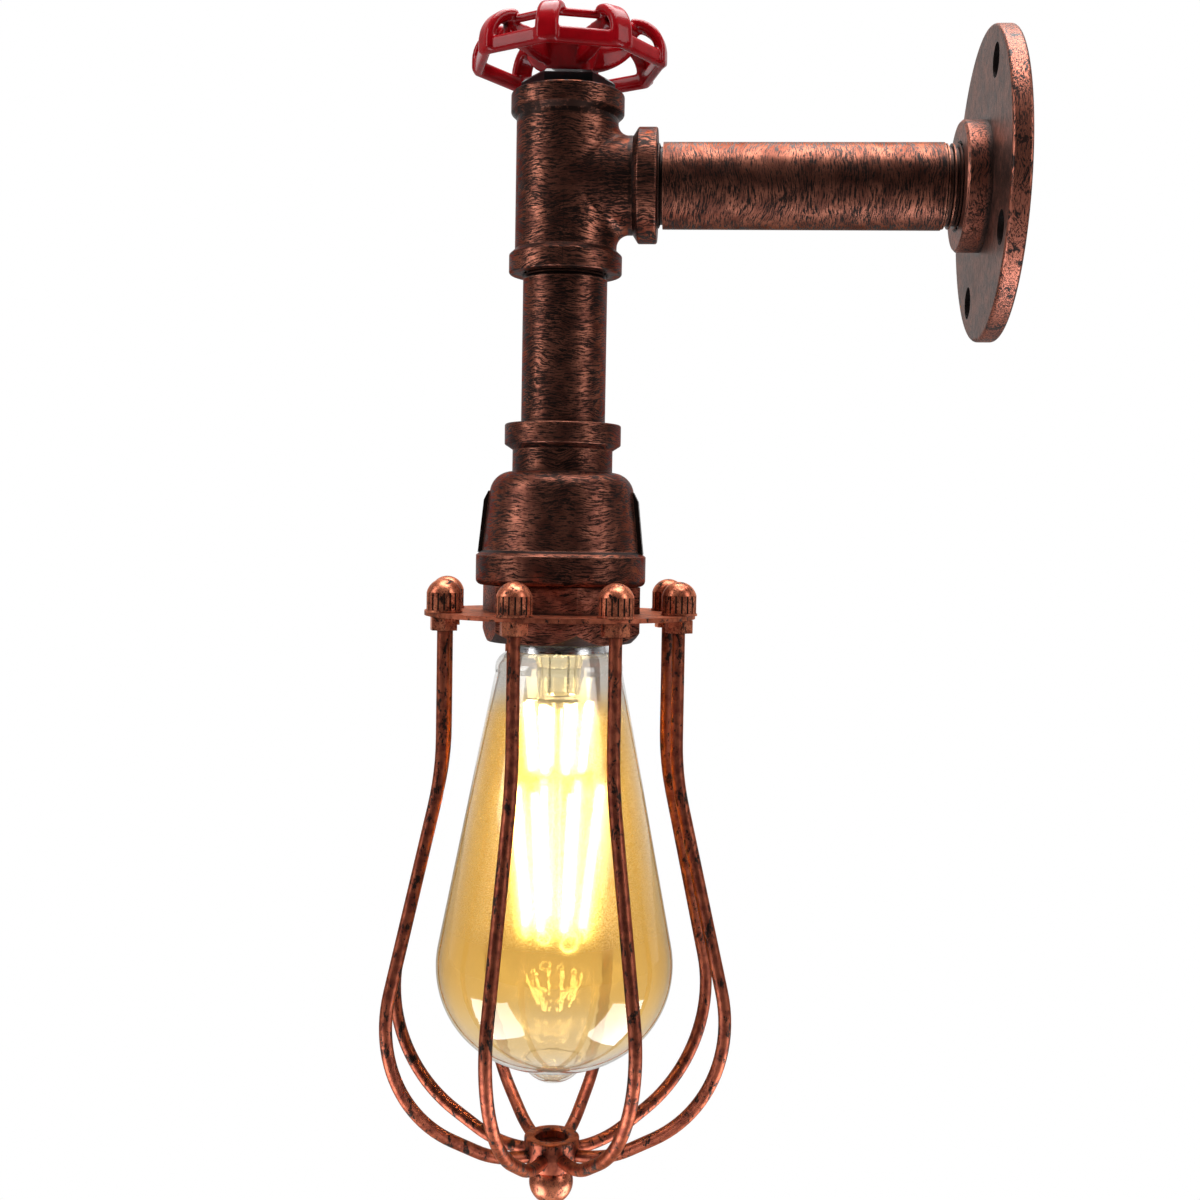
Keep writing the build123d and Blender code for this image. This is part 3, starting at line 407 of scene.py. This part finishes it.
def flange_marks(tree, place):
    """Painted shade in the screw holes, and chips on the flange's rim and hub."""
    spread = noise(tree, drifted(tree, place, scale=160.0, reach=1.6 * MM), 300.0, **RAGGED)
    chips = times(tree, fall(tree, spread, 0.405, 0.445, top=0.95), flange_rims(tree, place))
    return larger(tree, screw_hole_shade(tree, place), chips)


def nut_flutes(tree, place):
    """The flutes round the cap nuts, each found from the wire's angle that it sits at."""
    x, y, z = split_xyz(tree, place)
    east = minus(tree, x, LAMP_X)
    south = times(tree, y, -1.0)
    turn = maths(tree, "ARCTAN2", east, south)
    step = math.radians(360 / WIRE_COUNT)
    count = maths(tree, "ROUND", maths(tree, "DIVIDE", minus(tree, turn, WIRE_PHASE), step))
    nearest = plus(tree, times(tree, count, step), WIRE_PHASE)
    nut = add(tree, "ShaderNodeCombineXYZ", {
        "X": times(tree, maths(tree, "SINE", nearest), CAGE_TOP_R),
        "Y": times(tree, maths(tree, "COSINE", nearest), CAGE_TOP_R),
    }).outputs[0]
    spot = add(tree, "ShaderNodeCombineXYZ", {"X": east, "Y": south}).outputs[0]
    away = vector_maths(tree, "DISTANCE", {0: spot, 1: nut}, "Value")
    flute = between(tree, away, CAP_NUT_R - 0.40 * MM, CAP_NUT_R - 0.05 * MM, soft=0.03 * MM)
    return times(tree, flute, between(tree, z, FLUTE_LOW_Z, FLUTE_TOP_Z, soft=0.2 * MM))


# ---------------------------------------------------------------- copper over black patina
BLACK_PATINA = (0.010, 0.0065, 0.006)
COPPER = (0.30, 0.108, 0.070)
COPPER_DULL = (0.135, 0.046, 0.032)
COPPER_WORN = (0.55, 0.235, 0.160)
COPPER_POLISHED = (0.42, 0.14, 0.092)
COPPER_SHEEN = (1.0, 0.62, 0.45)

FIBRE_WIDTH = 0.22 * MM
FIBRE_LENGTH = 2.2 * MM
STREAK_WIDTH = 2.2 * FIBRE_WIDTH
STREAK_LENGTH = 6.0 * MM
STREAK_SHARE = 0.3                      # of streaks among the fibres
GRIT_SHARE = 0.12                       # of grit on both
PATCH_DEPTH = 0.16                      # how far patches move the level of the black
FIBRE_SOFTNESS = 0.04                   # half the step of noise from copper to black


def brushed_copper(
    name, axes, cover, bright=COPPER, dull=COPPER_DULL, grazing=COPPER_WORN, paint=None, polish=None,
):
    """Copper plate under fine black fibres, thin along the named axes, worn bright on the edges."""
    material, tree, surface, _ = new_material(name)
    place = object_place(tree)
    warped = drifted(tree, place, scale=70.0, reach=3.2 * MM)

    def strands(width, length, **settings):
        """Noise drawn out into strands that are thin along the named axes."""
        scale = [1 / width if axis in axes else 1 / length for axis in "XYZ"]
        return noise(tree, warped, scale, **settings)

    fine = strands(FIBRE_WIDTH, FIBRE_LENGTH, detail=2.5, roughness=0.6, distortion=0.25)
    coarse = strands(STREAK_WIDTH, STREAK_LENGTH, detail=2.0, distortion=0.2)
    patches = noise(tree, place, scale=75.0)
    grit = noise(tree, place, scale=2300.0, detail=2.0)
    fibres = blend_value(tree, STREAK_SHARE, fine, coarse)
    fibres = blend_value(tree, GRIT_SHARE, fibres, grit)
    level = plus(tree, fibres, times(tree, minus(tree, patches, 0.5), PATCH_DEPTH))
    black = fall(tree, level, cover - FIBRE_SOFTNESS, cover + FIBRE_SOFTNESS)
    edge = worn_edge(tree, radius=0.6 * MM)
    black = rubbed(tree, black, edge, share=0.6)
    # Crevices turn black: part black patina, part painted shade.
    black = larger(tree, black, crevice_shade(tree, distance=3.2 * MM))
    # Each piece's own marks: real ones, or painted shade.
    if paint is not None:
        black = larger(tree, black, paint(tree, place))
    shade = ramp(tree, noise(tree, warped, scale=210.0, detail=4.0), 0.34, 0.66)
    metal = blend_colour(tree, shade, dull, bright)
    metal = blend_colour(tree, times(tree, edge, 0.8), metal, COPPER_WORN)
    if polish is not None:
        metal = blend_colour(tree, polish(tree, place), metal, COPPER_POLISHED)
    set_inputs(tree, surface, {
        "Base Color": blend_colour(tree, black, metal, BLACK_PATINA),
        "Metallic": ramp(tree, black, 0.0, 1.0, 0.9, 0.15),
        "Roughness": ramp(tree, fibres, 0.3, 0.7, 0.46, 0.31),
        "Specular IOR Level": 0.26,
        "Specular Tint": (*grazing, 1.0),
        "Normal": bump(tree, strength=0.7, distance=0.10 * MM, height=fibres),
    })
    return material


def patched_copper(name, bright, dull, cover, spots, shine, paint=None, metallic=0.95):
    """Orange copper plate with ragged black patches, and black, part patina and part painted shade, in
    every flute and corner.
    """
    material, tree, surface, _ = new_material(name)
    place = object_place(tree)
    patches = noise(tree, drifted(tree, place, scale=160.0, reach=1.6 * MM), spots, **RAGGED)
    grit = noise(tree, place, scale=1500.0)
    level = blend_value(tree, 0.2, patches, grit)
    black = fall(tree, level, cover - 0.035, cover + 0.03)
    # Flutes and corners turn black: part black patina, part painted shade.
    black = larger(tree, black, crevice_shade(tree, distance=0.9 * MM))
    black = rubbed(tree, black, worn_edge(tree, radius=0.4 * MM), share=0.5)
    if paint is not None:
        black = larger(tree, black, paint(tree, place))
    shade = ramp(tree, noise(tree, place, scale=420.0), 0.35, 0.65)
    metal = blend_colour(tree, shade, dull, bright)
    set_inputs(tree, surface, {
        "Base Color": blend_colour(tree, black, metal, BLACK_PATINA),
        "Metallic": ramp(tree, black, 0.0, 1.0, metallic, 0.1),
        "Roughness": ramp(tree, grit, 0.3, 0.7, shine + 0.12, shine),
        "Specular IOR Level": 0.25,
        "Specular Tint": (*COPPER_SHEEN, 1.0),
        "Normal": bump(tree, strength=0.6, distance=0.08 * MM, height=level),
    })
    return material


hexagon_copper = brushed_copper(
    "hexagon_copper", "Z", 0.48, bright=(0.60, 0.215, 0.14), dull=(0.18, 0.062, 0.042), paint=underside_shade,
)
tee_copper = brushed_copper("tee_copper", "Z", 0.51, paint=tee_seam_and_shade)
bell_copper = brushed_copper("bell_copper", "Z", 0.50, paint=lug_shade)
pipe_upright = brushed_copper("pipe_copper_upright", "Z", 0.50)
pipe_arm = brushed_copper("pipe_copper_arm", "X", 0.49, grazing=(0.56, 0.38, 0.33))
flange_copper = brushed_copper(
    "flange_copper", "XY", 0.49, bright=(0.34, 0.155, 0.118), dull=(0.15, 0.07, 0.056),
    grazing=(0.66, 0.60, 0.57), paint=flange_marks, polish=flange_rims,
)
cage_copper = patched_copper(
    "cage_copper", bright=(0.38, 0.100, 0.054), dull=(0.20, 0.049, 0.030), cover=0.445,
    spots=(520.0, 520.0, 190.0), shine=0.36,
)
nut_copper = patched_copper(
    "nut_copper", bright=(0.74, 0.235, 0.125), dull=(0.41, 0.112, 0.062), cover=0.44,
    spots=(420.0, 420.0, 300.0), shine=0.24, paint=nut_flutes, metallic=0.7,
)
ring_copper = patched_copper(
    "ring_copper", bright=(0.46, 0.13, 0.07), dull=(0.25, 0.065, 0.036), cover=0.44,
    spots=(420.0, 420.0, 300.0), shine=0.42, metallic=0.85,
)

dress(hexagon_copper, "holder_bushing", "clamp_nut")
dress(tee_copper, "tee")
dress(bell_copper, "bell")
dress(pipe_upright, "down_pipe")
dress(pipe_arm, "arm_pipe")
dress(flange_copper, "wall_flange")
dress(cage_copper, "cage_hub", *(f"cage_wire_{count + 1}" for count in range(WIRE_COUNT)))
dress(ring_copper, "cage_ring")
dress(nut_copper, "cap_nuts", "ring_nuts", "ball_finial")


# ---------------------------------------------------------------- enamel, plain metals and plastics
TURNING_MARKS = (300.0, 300.0, 2600.0)  # a metre, along X, Y and Z


def enamel(name, colour, crevice_shade_colour, roughness, coat, ripple):
    """Thick paint with a faint orange-peel ripple, and painted shade in its crevices."""
    material, tree, surface, _ = new_material(name)
    place = object_place(tree)
    tone = ramp(tree, noise(tree, place, scale=150.0), 0.3, 0.7)
    shaded = tuple(0.7 * part for part in colour)
    paint = blend_colour(tree, tone, shaded, colour)
    set_inputs(tree, surface, {
        # Painted shade: the paint turns to its darker colour in crevices.
        "Base Color": blend_colour(tree, crevice_shade(tree, distance=3.0 * MM), paint, crevice_shade_colour),
        "Roughness": roughness,
        "Coat Weight": coat,
        "Coat Roughness": 0.04,
        "Specular IOR Level": 0.08,
        "Normal": bump(tree, strength=0.5, distance=ripple, height=noise(tree, place, scale=380.0)),
    })
    return material


def machined(name, colour, roughness, metallic):
    """Bare metal or plastic with fine turning marks."""
    material, tree, surface, _ = new_material(name)
    marks = noise(tree, object_place(tree), TURNING_MARKS)
    shaded = tuple(0.75 * part for part in colour)
    set_inputs(tree, surface, {
        "Base Color": blend_colour(tree, ramp(tree, marks, 0.3, 0.7), shaded, colour),
        "Metallic": metallic,
        "Roughness": ramp(tree, marks, 0.3, 0.7, roughness + 0.12, roughness - 0.05),
    })
    return material


METAL = 1.0
PLASTIC = 0.0
STEEL_PIECES = ("spindle", "wheel_screw", "spindle_clip", "terminal_screws")
TERMINALS = ("live_terminal", "neutral_terminal", "earth_terminal")
MACHINED = (
    ("black_fibre", (0.02, 0.02, 0.02), 0.6, PLASTIC, "friction_washer"),
    ("plain_steel", (0.55, 0.55, 0.56), 0.3, METAL, *STEEL_PIECES),
    ("pressed_brass", (0.80, 0.57, 0.24), 0.3, METAL, "screw_shell", "centre_contact"),
    ("terminal_brass", (0.75, 0.54, 0.26), 0.3, METAL, *TERMINALS),
    ("white_porcelain", (0.82, 0.81, 0.77), 0.12, PLASTIC, "lampholder_body"),
    ("brown_insulation", (0.16, 0.06, 0.03), 0.45, PLASTIC, "live_core"),
    ("blue_insulation", (0.03, 0.12, 0.45), 0.45, PLASTIC, "neutral_core"),
    ("green_insulation", (0.20, 0.42, 0.05), 0.45, PLASTIC, "earth_core"),
    ("cap_metal", (0.72, 0.72, 0.73), 0.22, METAL, "bulb_cap"),
    ("solder", (0.60, 0.60, 0.58), 0.35, METAL, "bulb_contact"),
    ("black_vitrite", (0.01, 0.01, 0.012), 0.15, PLASTIC, "bulb_insulator"),
    ("lead_wire", (0.75, 0.68, 0.52), 0.25, METAL, "support_wires"),
    ("circuit_board", (0.05, 0.22, 0.10), 0.4, PLASTIC, "driver_board"),
)

red_enamel = enamel(
    "red_enamel", (0.41, 0.004, 0.009), crevice_shade_colour=(0.05, 0.001, 0.003),
    roughness=0.26, coat=0.22, ripple=0.10 * MM,
)
black_paint = enamel(
    "black_paint", (0.010, 0.010, 0.011), crevice_shade_colour=(0.004, 0.004, 0.004),
    roughness=0.35, coat=0.6, ripple=0.08 * MM,
)
dress(red_enamel, "handwheel")
dress(black_paint, "top_plug")
for finish, colour, roughness, metallic, *wearers in MACHINED:
    dress(machined(finish, colour, roughness, metallic), *wearers)


# ---------------------------------------------------------------- the handwheel's painted casting
CAST_VOXEL = 0.32 * MM                  # grain of the rounded copy
CAST_ROUNDS = 16                        # of smoothing
PAINT_DEPTH = 0.22 * MM


def settled_mesh(rough, material):
    """The mesh that an object's modifiers or bevel make of it, in one material; the object goes."""
    settled = rough.evaluated_get(bpy.context.evaluated_depsgraph_get())
    mesh = bpy.data.meshes.new_from_object(settled)
    bpy.data.objects.remove(rough)
    mesh.materials.clear()
    mesh.materials.append(material)
    return mesh


def cast_copy(node, body, material):
    """The node's shape with edges and corners rounded as in a casting under thick paint."""
    rough = in_scene(f"{node}_rough", nodes[node].data.copy())
    remesh = rough.modifiers.new("skin", "REMESH")
    remesh.mode = "VOXEL"
    remesh.voxel_size = CAST_VOXEL
    remesh.use_smooth_shade = True
    thicken = rough.modifiers.new("thicken", "DISPLACE")
    thicken.mid_level = 0.0
    thicken.strength = PAINT_DEPTH
    soften = rough.modifiers.new("soften", "SMOOTH")
    soften.factor = 0.5
    soften.iterations = CAST_ROUNDS
    piece = in_scene(f"{node}_cast", settled_mesh(rough, material))
    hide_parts(node)
    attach(piece, body)


cast_copy("handwheel", "wheel", red_enamel)


# ---------------------------------------------------------------- the lit bulb
GLASS_IOR = 1.45
COAT_IOR = 1.3
FROST_LEAST = 0.05                      # roughness of the amber coat, in its fine grain
FROST_MOST = 0.42
CLEAR_ROUGHNESS = 0.02
SHADOW_LIGHT = 0.45                     # share of a lamp's light that the glass lets through
GLOW_CAST = 0.15                        # share of the glass's glow that other pieces see
AMBER_TINT = (0.54, 0.40, 0.165)
# AMBER_GLOW and NECK_GLOW are painted glow in the glass, standing in for the filaments' light.
AMBER_GLOW = (0.180, 0.114, 0.031)
LOW_TINT = (0.60, 0.50, 0.31)
BARE_TINT = (0.63, 0.61, 0.58)
NECK_GLOW = (0.060, 0.056, 0.050)
STEM_TINT = (0.93, 0.90, 0.80)
# STEM_GLOW and STEM_LIT are painted glow in the stem, brightest near the filaments.
STEM_GLOW = (0.12, 0.10, 0.04)
STEM_LIT = (1.5, 1.3, 0.8)
FILAMENT_SEEN = 430.0
WIRE_SEEN = 14.0
CAST_STRENGTH = 0.8                     # of filaments and wires, as other pieces see them
MIRRORED_GAIN = 3.0                     # of their images in the glass, over what the eye sees


def glowing(name, colour, seen, cast):
    """A lit filament: overexposed to the eye, and gentler on what stands round it."""
    material, tree, surface, _ = new_material(name)
    path = add(tree, "ShaderNodeLightPath")
    in_glass = maths(tree, "MINIMUM", path.outputs["Transmission Depth"], 1.0)
    mirrored = times(tree, path.outputs["Is Reflection Ray"], in_glass)
    straight = ramp(tree, seen_straight(tree, path), 0.0, 1.0, cast, seen)
    set_inputs(tree, surface, {
        "Base Color": (*colour, 1.0),
        "Roughness": 0.5,
        "Emission Color": (*colour, 1.0),
        "Emission Strength": plus(tree, straight, times(tree, mirrored, MIRRORED_GAIN * seen)),
    })
    return material


def faint_when_mirrored(tree):
    """Full painted glow to the eye, and little of it in what stands round the bulb."""
    direct = seen_straight(tree, add(tree, "ShaderNodeLightPath"))
    return ramp(tree, direct, 0.0, 1.0, GLOW_CAST, 1.0)


def open_to_lamps(tree, surface, output, tint):
    """Shadow rays pass through, tinted and dimmed."""
    dimmed = vector_maths(tree, "SCALE", {0: tint, "Scale": SHADOW_LIGHT})
    clear = add(tree, "ShaderNodeBsdfTransparent", {"Color": dimmed})
    shadow = add(tree, "ShaderNodeLightPath").outputs["Is Shadow Ray"]
    mixed = add(tree, "ShaderNodeMixShader", {0: shadow, 1: surface.outputs[0], 2: clear.outputs[0]})
    set_inputs(tree, output, {"Surface": mixed.outputs[0]})


def stem_glass(name):
    """Clear glass that lets lamps through, with a painted glow round its lower end as if lit by the
    filaments.
    """
    material, tree, surface, output = new_material(name)
    height = split_xyz(tree, object_place(tree))[2]
    near = fall(tree, height, STEM_LIT_Z - 6 * MM, STEM_LIT_Z + 6 * MM)
    set_inputs(tree, surface, {
        "Base Color": (*STEM_TINT, 1.0),
        "Roughness": 0.0,
        "IOR": GLASS_IOR,
        "Transmission Weight": 1.0,
        # Painted glow, brighter near the filaments.
        "Emission Color": blend_colour(tree, near, STEM_GLOW, STEM_LIT),
        "Emission Strength": faint_when_mirrored(tree),
    })
    open_to_lamps(tree, surface, output, STEM_TINT)
    return material


def amber_glass(name):
    """Glass with an amber coat, given a painted glow as if lit by the filaments; neck and tip are bare.
    """
    material, tree, surface, output = new_material(name)
    place = object_place(tree)
    height = split_xyz(tree, place)[2]
    neck = ramp(tree, height, NECK_Z - 6 * MM, NECK_Z + 5 * MM)
    tip = fall(tree, height, TIP_Z - 5 * MM, TIP_Z + 5 * MM, top=0.8)
    bare = larger(tree, neck, tip)
    low = fall(tree, height, LOW_Z - 8 * MM, LOW_Z + 8 * MM)
    colour = blend_colour(tree, bare, blend_colour(tree, low, AMBER_TINT, LOW_TINT), BARE_TINT)
    frost = noise(tree, place, scale=6000.0, detail=0.0)
    grain = ramp(tree, frost, 0.32, 0.70, FROST_LEAST, FROST_MOST)
    clear = fall(tree, height, CLEAR_Z - 4 * MM, CLEAR_Z + 4 * MM)
    set_inputs(tree, surface, {
        "Base Color": colour,
        "Roughness": blend_value(tree, larger(tree, bare, clear), grain, CLEAR_ROUGHNESS),
        "IOR": GLASS_IOR,
        "Transmission Weight": 1.0,
        "Coat Weight": 1.0,
        "Coat Roughness": 0.0,
        "Coat IOR": COAT_IOR,
        # Painted glow in place of the filaments' light in the coat.
        "Emission Color": blend_colour(tree, bare, AMBER_GLOW, NECK_GLOW),
        "Emission Strength": faint_when_mirrored(tree),
    })
    open_to_lamps(tree, surface, output, colour)
    return material


def curl(material, angle, size):
    """A loose loop of lead wire at the foot of a filament."""
    data = bpy.data.curves.new("lead_curl", "CURVE")
    data.dimensions = "3D"
    data.bevel_depth = CURL_WIRE_R
    data.bevel_resolution = 2
    spline = data.splines.new("POLY")
    spline.points.add(CURL_STEPS)
    for index in range(CURL_STEPS + 1):
        along = index / CURL_STEPS
        turn = 2 * math.pi * CURL_TURNS * along
        reach = size * (1 - CURL_CLOSING * along)
        aside = reach * math.sin(turn)
        out = CURL_CIRCLE_R + CURL_DRIFT * along
        x = LAMP_X + out * math.cos(angle) - aside * math.sin(angle)
        y = out * math.sin(angle) + aside * math.cos(angle)
        z = FILAMENT_FOOT_Z - size + reach * math.cos(turn)
        spline.points[index].co = (x, y, z, 1.0)
    piece = in_scene("lead_curl", settled_mesh(in_scene("curl_path", data), material))
    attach(piece, "bulb")


# The curls of lead wire get a painted glow, dimmer than the filaments'.
lit_wire = glowing("lit_wire", (1.0, 0.86, 0.42), WIRE_SEEN, CAST_STRENGTH)
for count in range(CURL_COUNT):
    size = BIG_CURL if count == 0 else (1.5 + 0.3 * (count % 3)) * MM
    curl(lit_wire, math.radians(360 / CURL_COUNT * count + CURL_PHASE), size)

lit_filament = glowing("lit_filament", (1.0, 0.82, 0.48), FILAMENT_SEEN, CAST_STRENGTH)
dress(lit_filament, "upper_filaments", "lower_filaments")
dress(amber_glass("amber_glass"), "bulb_glass")
dress(stem_glass("clear_glass"), "bulb_stem")


# ---------------------------------------------------------------- studio
WHITE = (1, 1, 1, 1)
PALE = (0.9, 0.9, 0.9, 1.0)
FLOOR_Z = -1.1
FLOOR_REACH = 8.0
PIPES = (LAMP_X, 0, 0)
BULB = Vector((LAMP_X, 0.0, -0.20))
BOX_COLOUR = (0.86, 0.93, 1.0)
BOX_SIZE = (0.34, 0.30)
BOX_POWER = 2.1
BOXES = (
    ("low_left_box", (-0.30, -0.17, -0.32)),
    ("low_right_box", (0.33, -0.03, -0.32)),
)


def soft_lamp(name, place, aim, size, power, colour=(1, 1, 1), lights=True):
    """A soft lamp at a place, turned to its aim; without lights it shows only in gloss."""
    data = bpy.data.lights.new(name, "AREA")
    data.shape = "RECTANGLE"
    data.size, data.size_y = size
    data.energy = power
    data.color = colour
    lamp = in_scene(name, data)
    facing = (Vector(aim) - Vector(place)).to_track_quat("-Z", "Y")
    lamp.matrix_world = Matrix.Translation(Vector(place)) @ facing.to_matrix().to_4x4()
    lamp.visible_camera = False
    lamp.visible_diffuse = lights


def set_world(front, side, back):
    """White studio to the eye; its front, behind the camera, is a dim room."""
    world = bpy.data.worlds.new("studio")
    bpy.context.scene.world = world
    world.use_nodes = True
    tree = world.node_tree
    tree.nodes.clear()
    depth = split_xyz(tree, add(tree, "ShaderNodeTexCoord").outputs["Generated"])[1]
    room = ramp(tree, depth, -0.85, 0.0, front, side)
    room = plus(tree, room, ramp(tree, depth, 0.1, 0.9, 0.0, back - side))
    seen = add(tree, "ShaderNodeBackground", {"Color": WHITE, "Strength": 1.0})
    felt = add(tree, "ShaderNodeBackground", {"Color": WHITE, "Strength": room})
    direct = seen_straight(tree, add(tree, "ShaderNodeLightPath"))
    mixed = add(tree, "ShaderNodeMixShader", {0: direct, 1: felt.outputs[0], 2: seen.outputs[0]})
    add(tree, "ShaderNodeOutputWorld", {"Surface": mixed.outputs[0]})


def set_floor(height, reach):
    """Pale floor, white to the eye."""
    mesh = bpy.data.meshes.new("floor")
    corners = [(reach * x, reach * y, height) for x, y in ((-1, -1), (1, -1), (1, 1), (-1, 1))]
    mesh.from_pydata(corners, [], [(0, 1, 2, 3)])
    floor = in_scene("floor", mesh)
    material, tree, surface, output = new_material("pale_floor")
    set_inputs(tree, surface, {"Base Color": PALE, "Roughness": 0.9})
    white = add(tree, "ShaderNodeEmission", {"Color": WHITE, "Strength": 1.0})
    direct = seen_straight(tree, add(tree, "ShaderNodeLightPath"))
    mixed = add(tree, "ShaderNodeMixShader", {0: direct, 1: surface.outputs[0], 2: white.outputs[0]})
    set_inputs(tree, output, {"Surface": mixed.outputs[0]})
    mesh.materials.append(material)


set_world(front=0.004, side=0.22, back=0.80)
set_floor(FLOOR_Z, FLOOR_REACH)
soft_lamp("left_lamp", (-0.95, -0.35, 0.32), PIPES, size=(0.35, 0.8), power=4.4)
soft_lamp("right_lamp", (0.80, -0.45, 0.32), PIPES, size=(0.35, 0.8), power=3.6)
soft_lamp("top_lamp", (0.0, 0.12, 0.90), (-0.05, 0, 0), size=(0.9, 0.9), power=21.0)
for box, offset in BOXES:
    soft_lamp(box, BULB + Vector(offset), BULB, BOX_SIZE, BOX_POWER, BOX_COLOUR, lights=False)
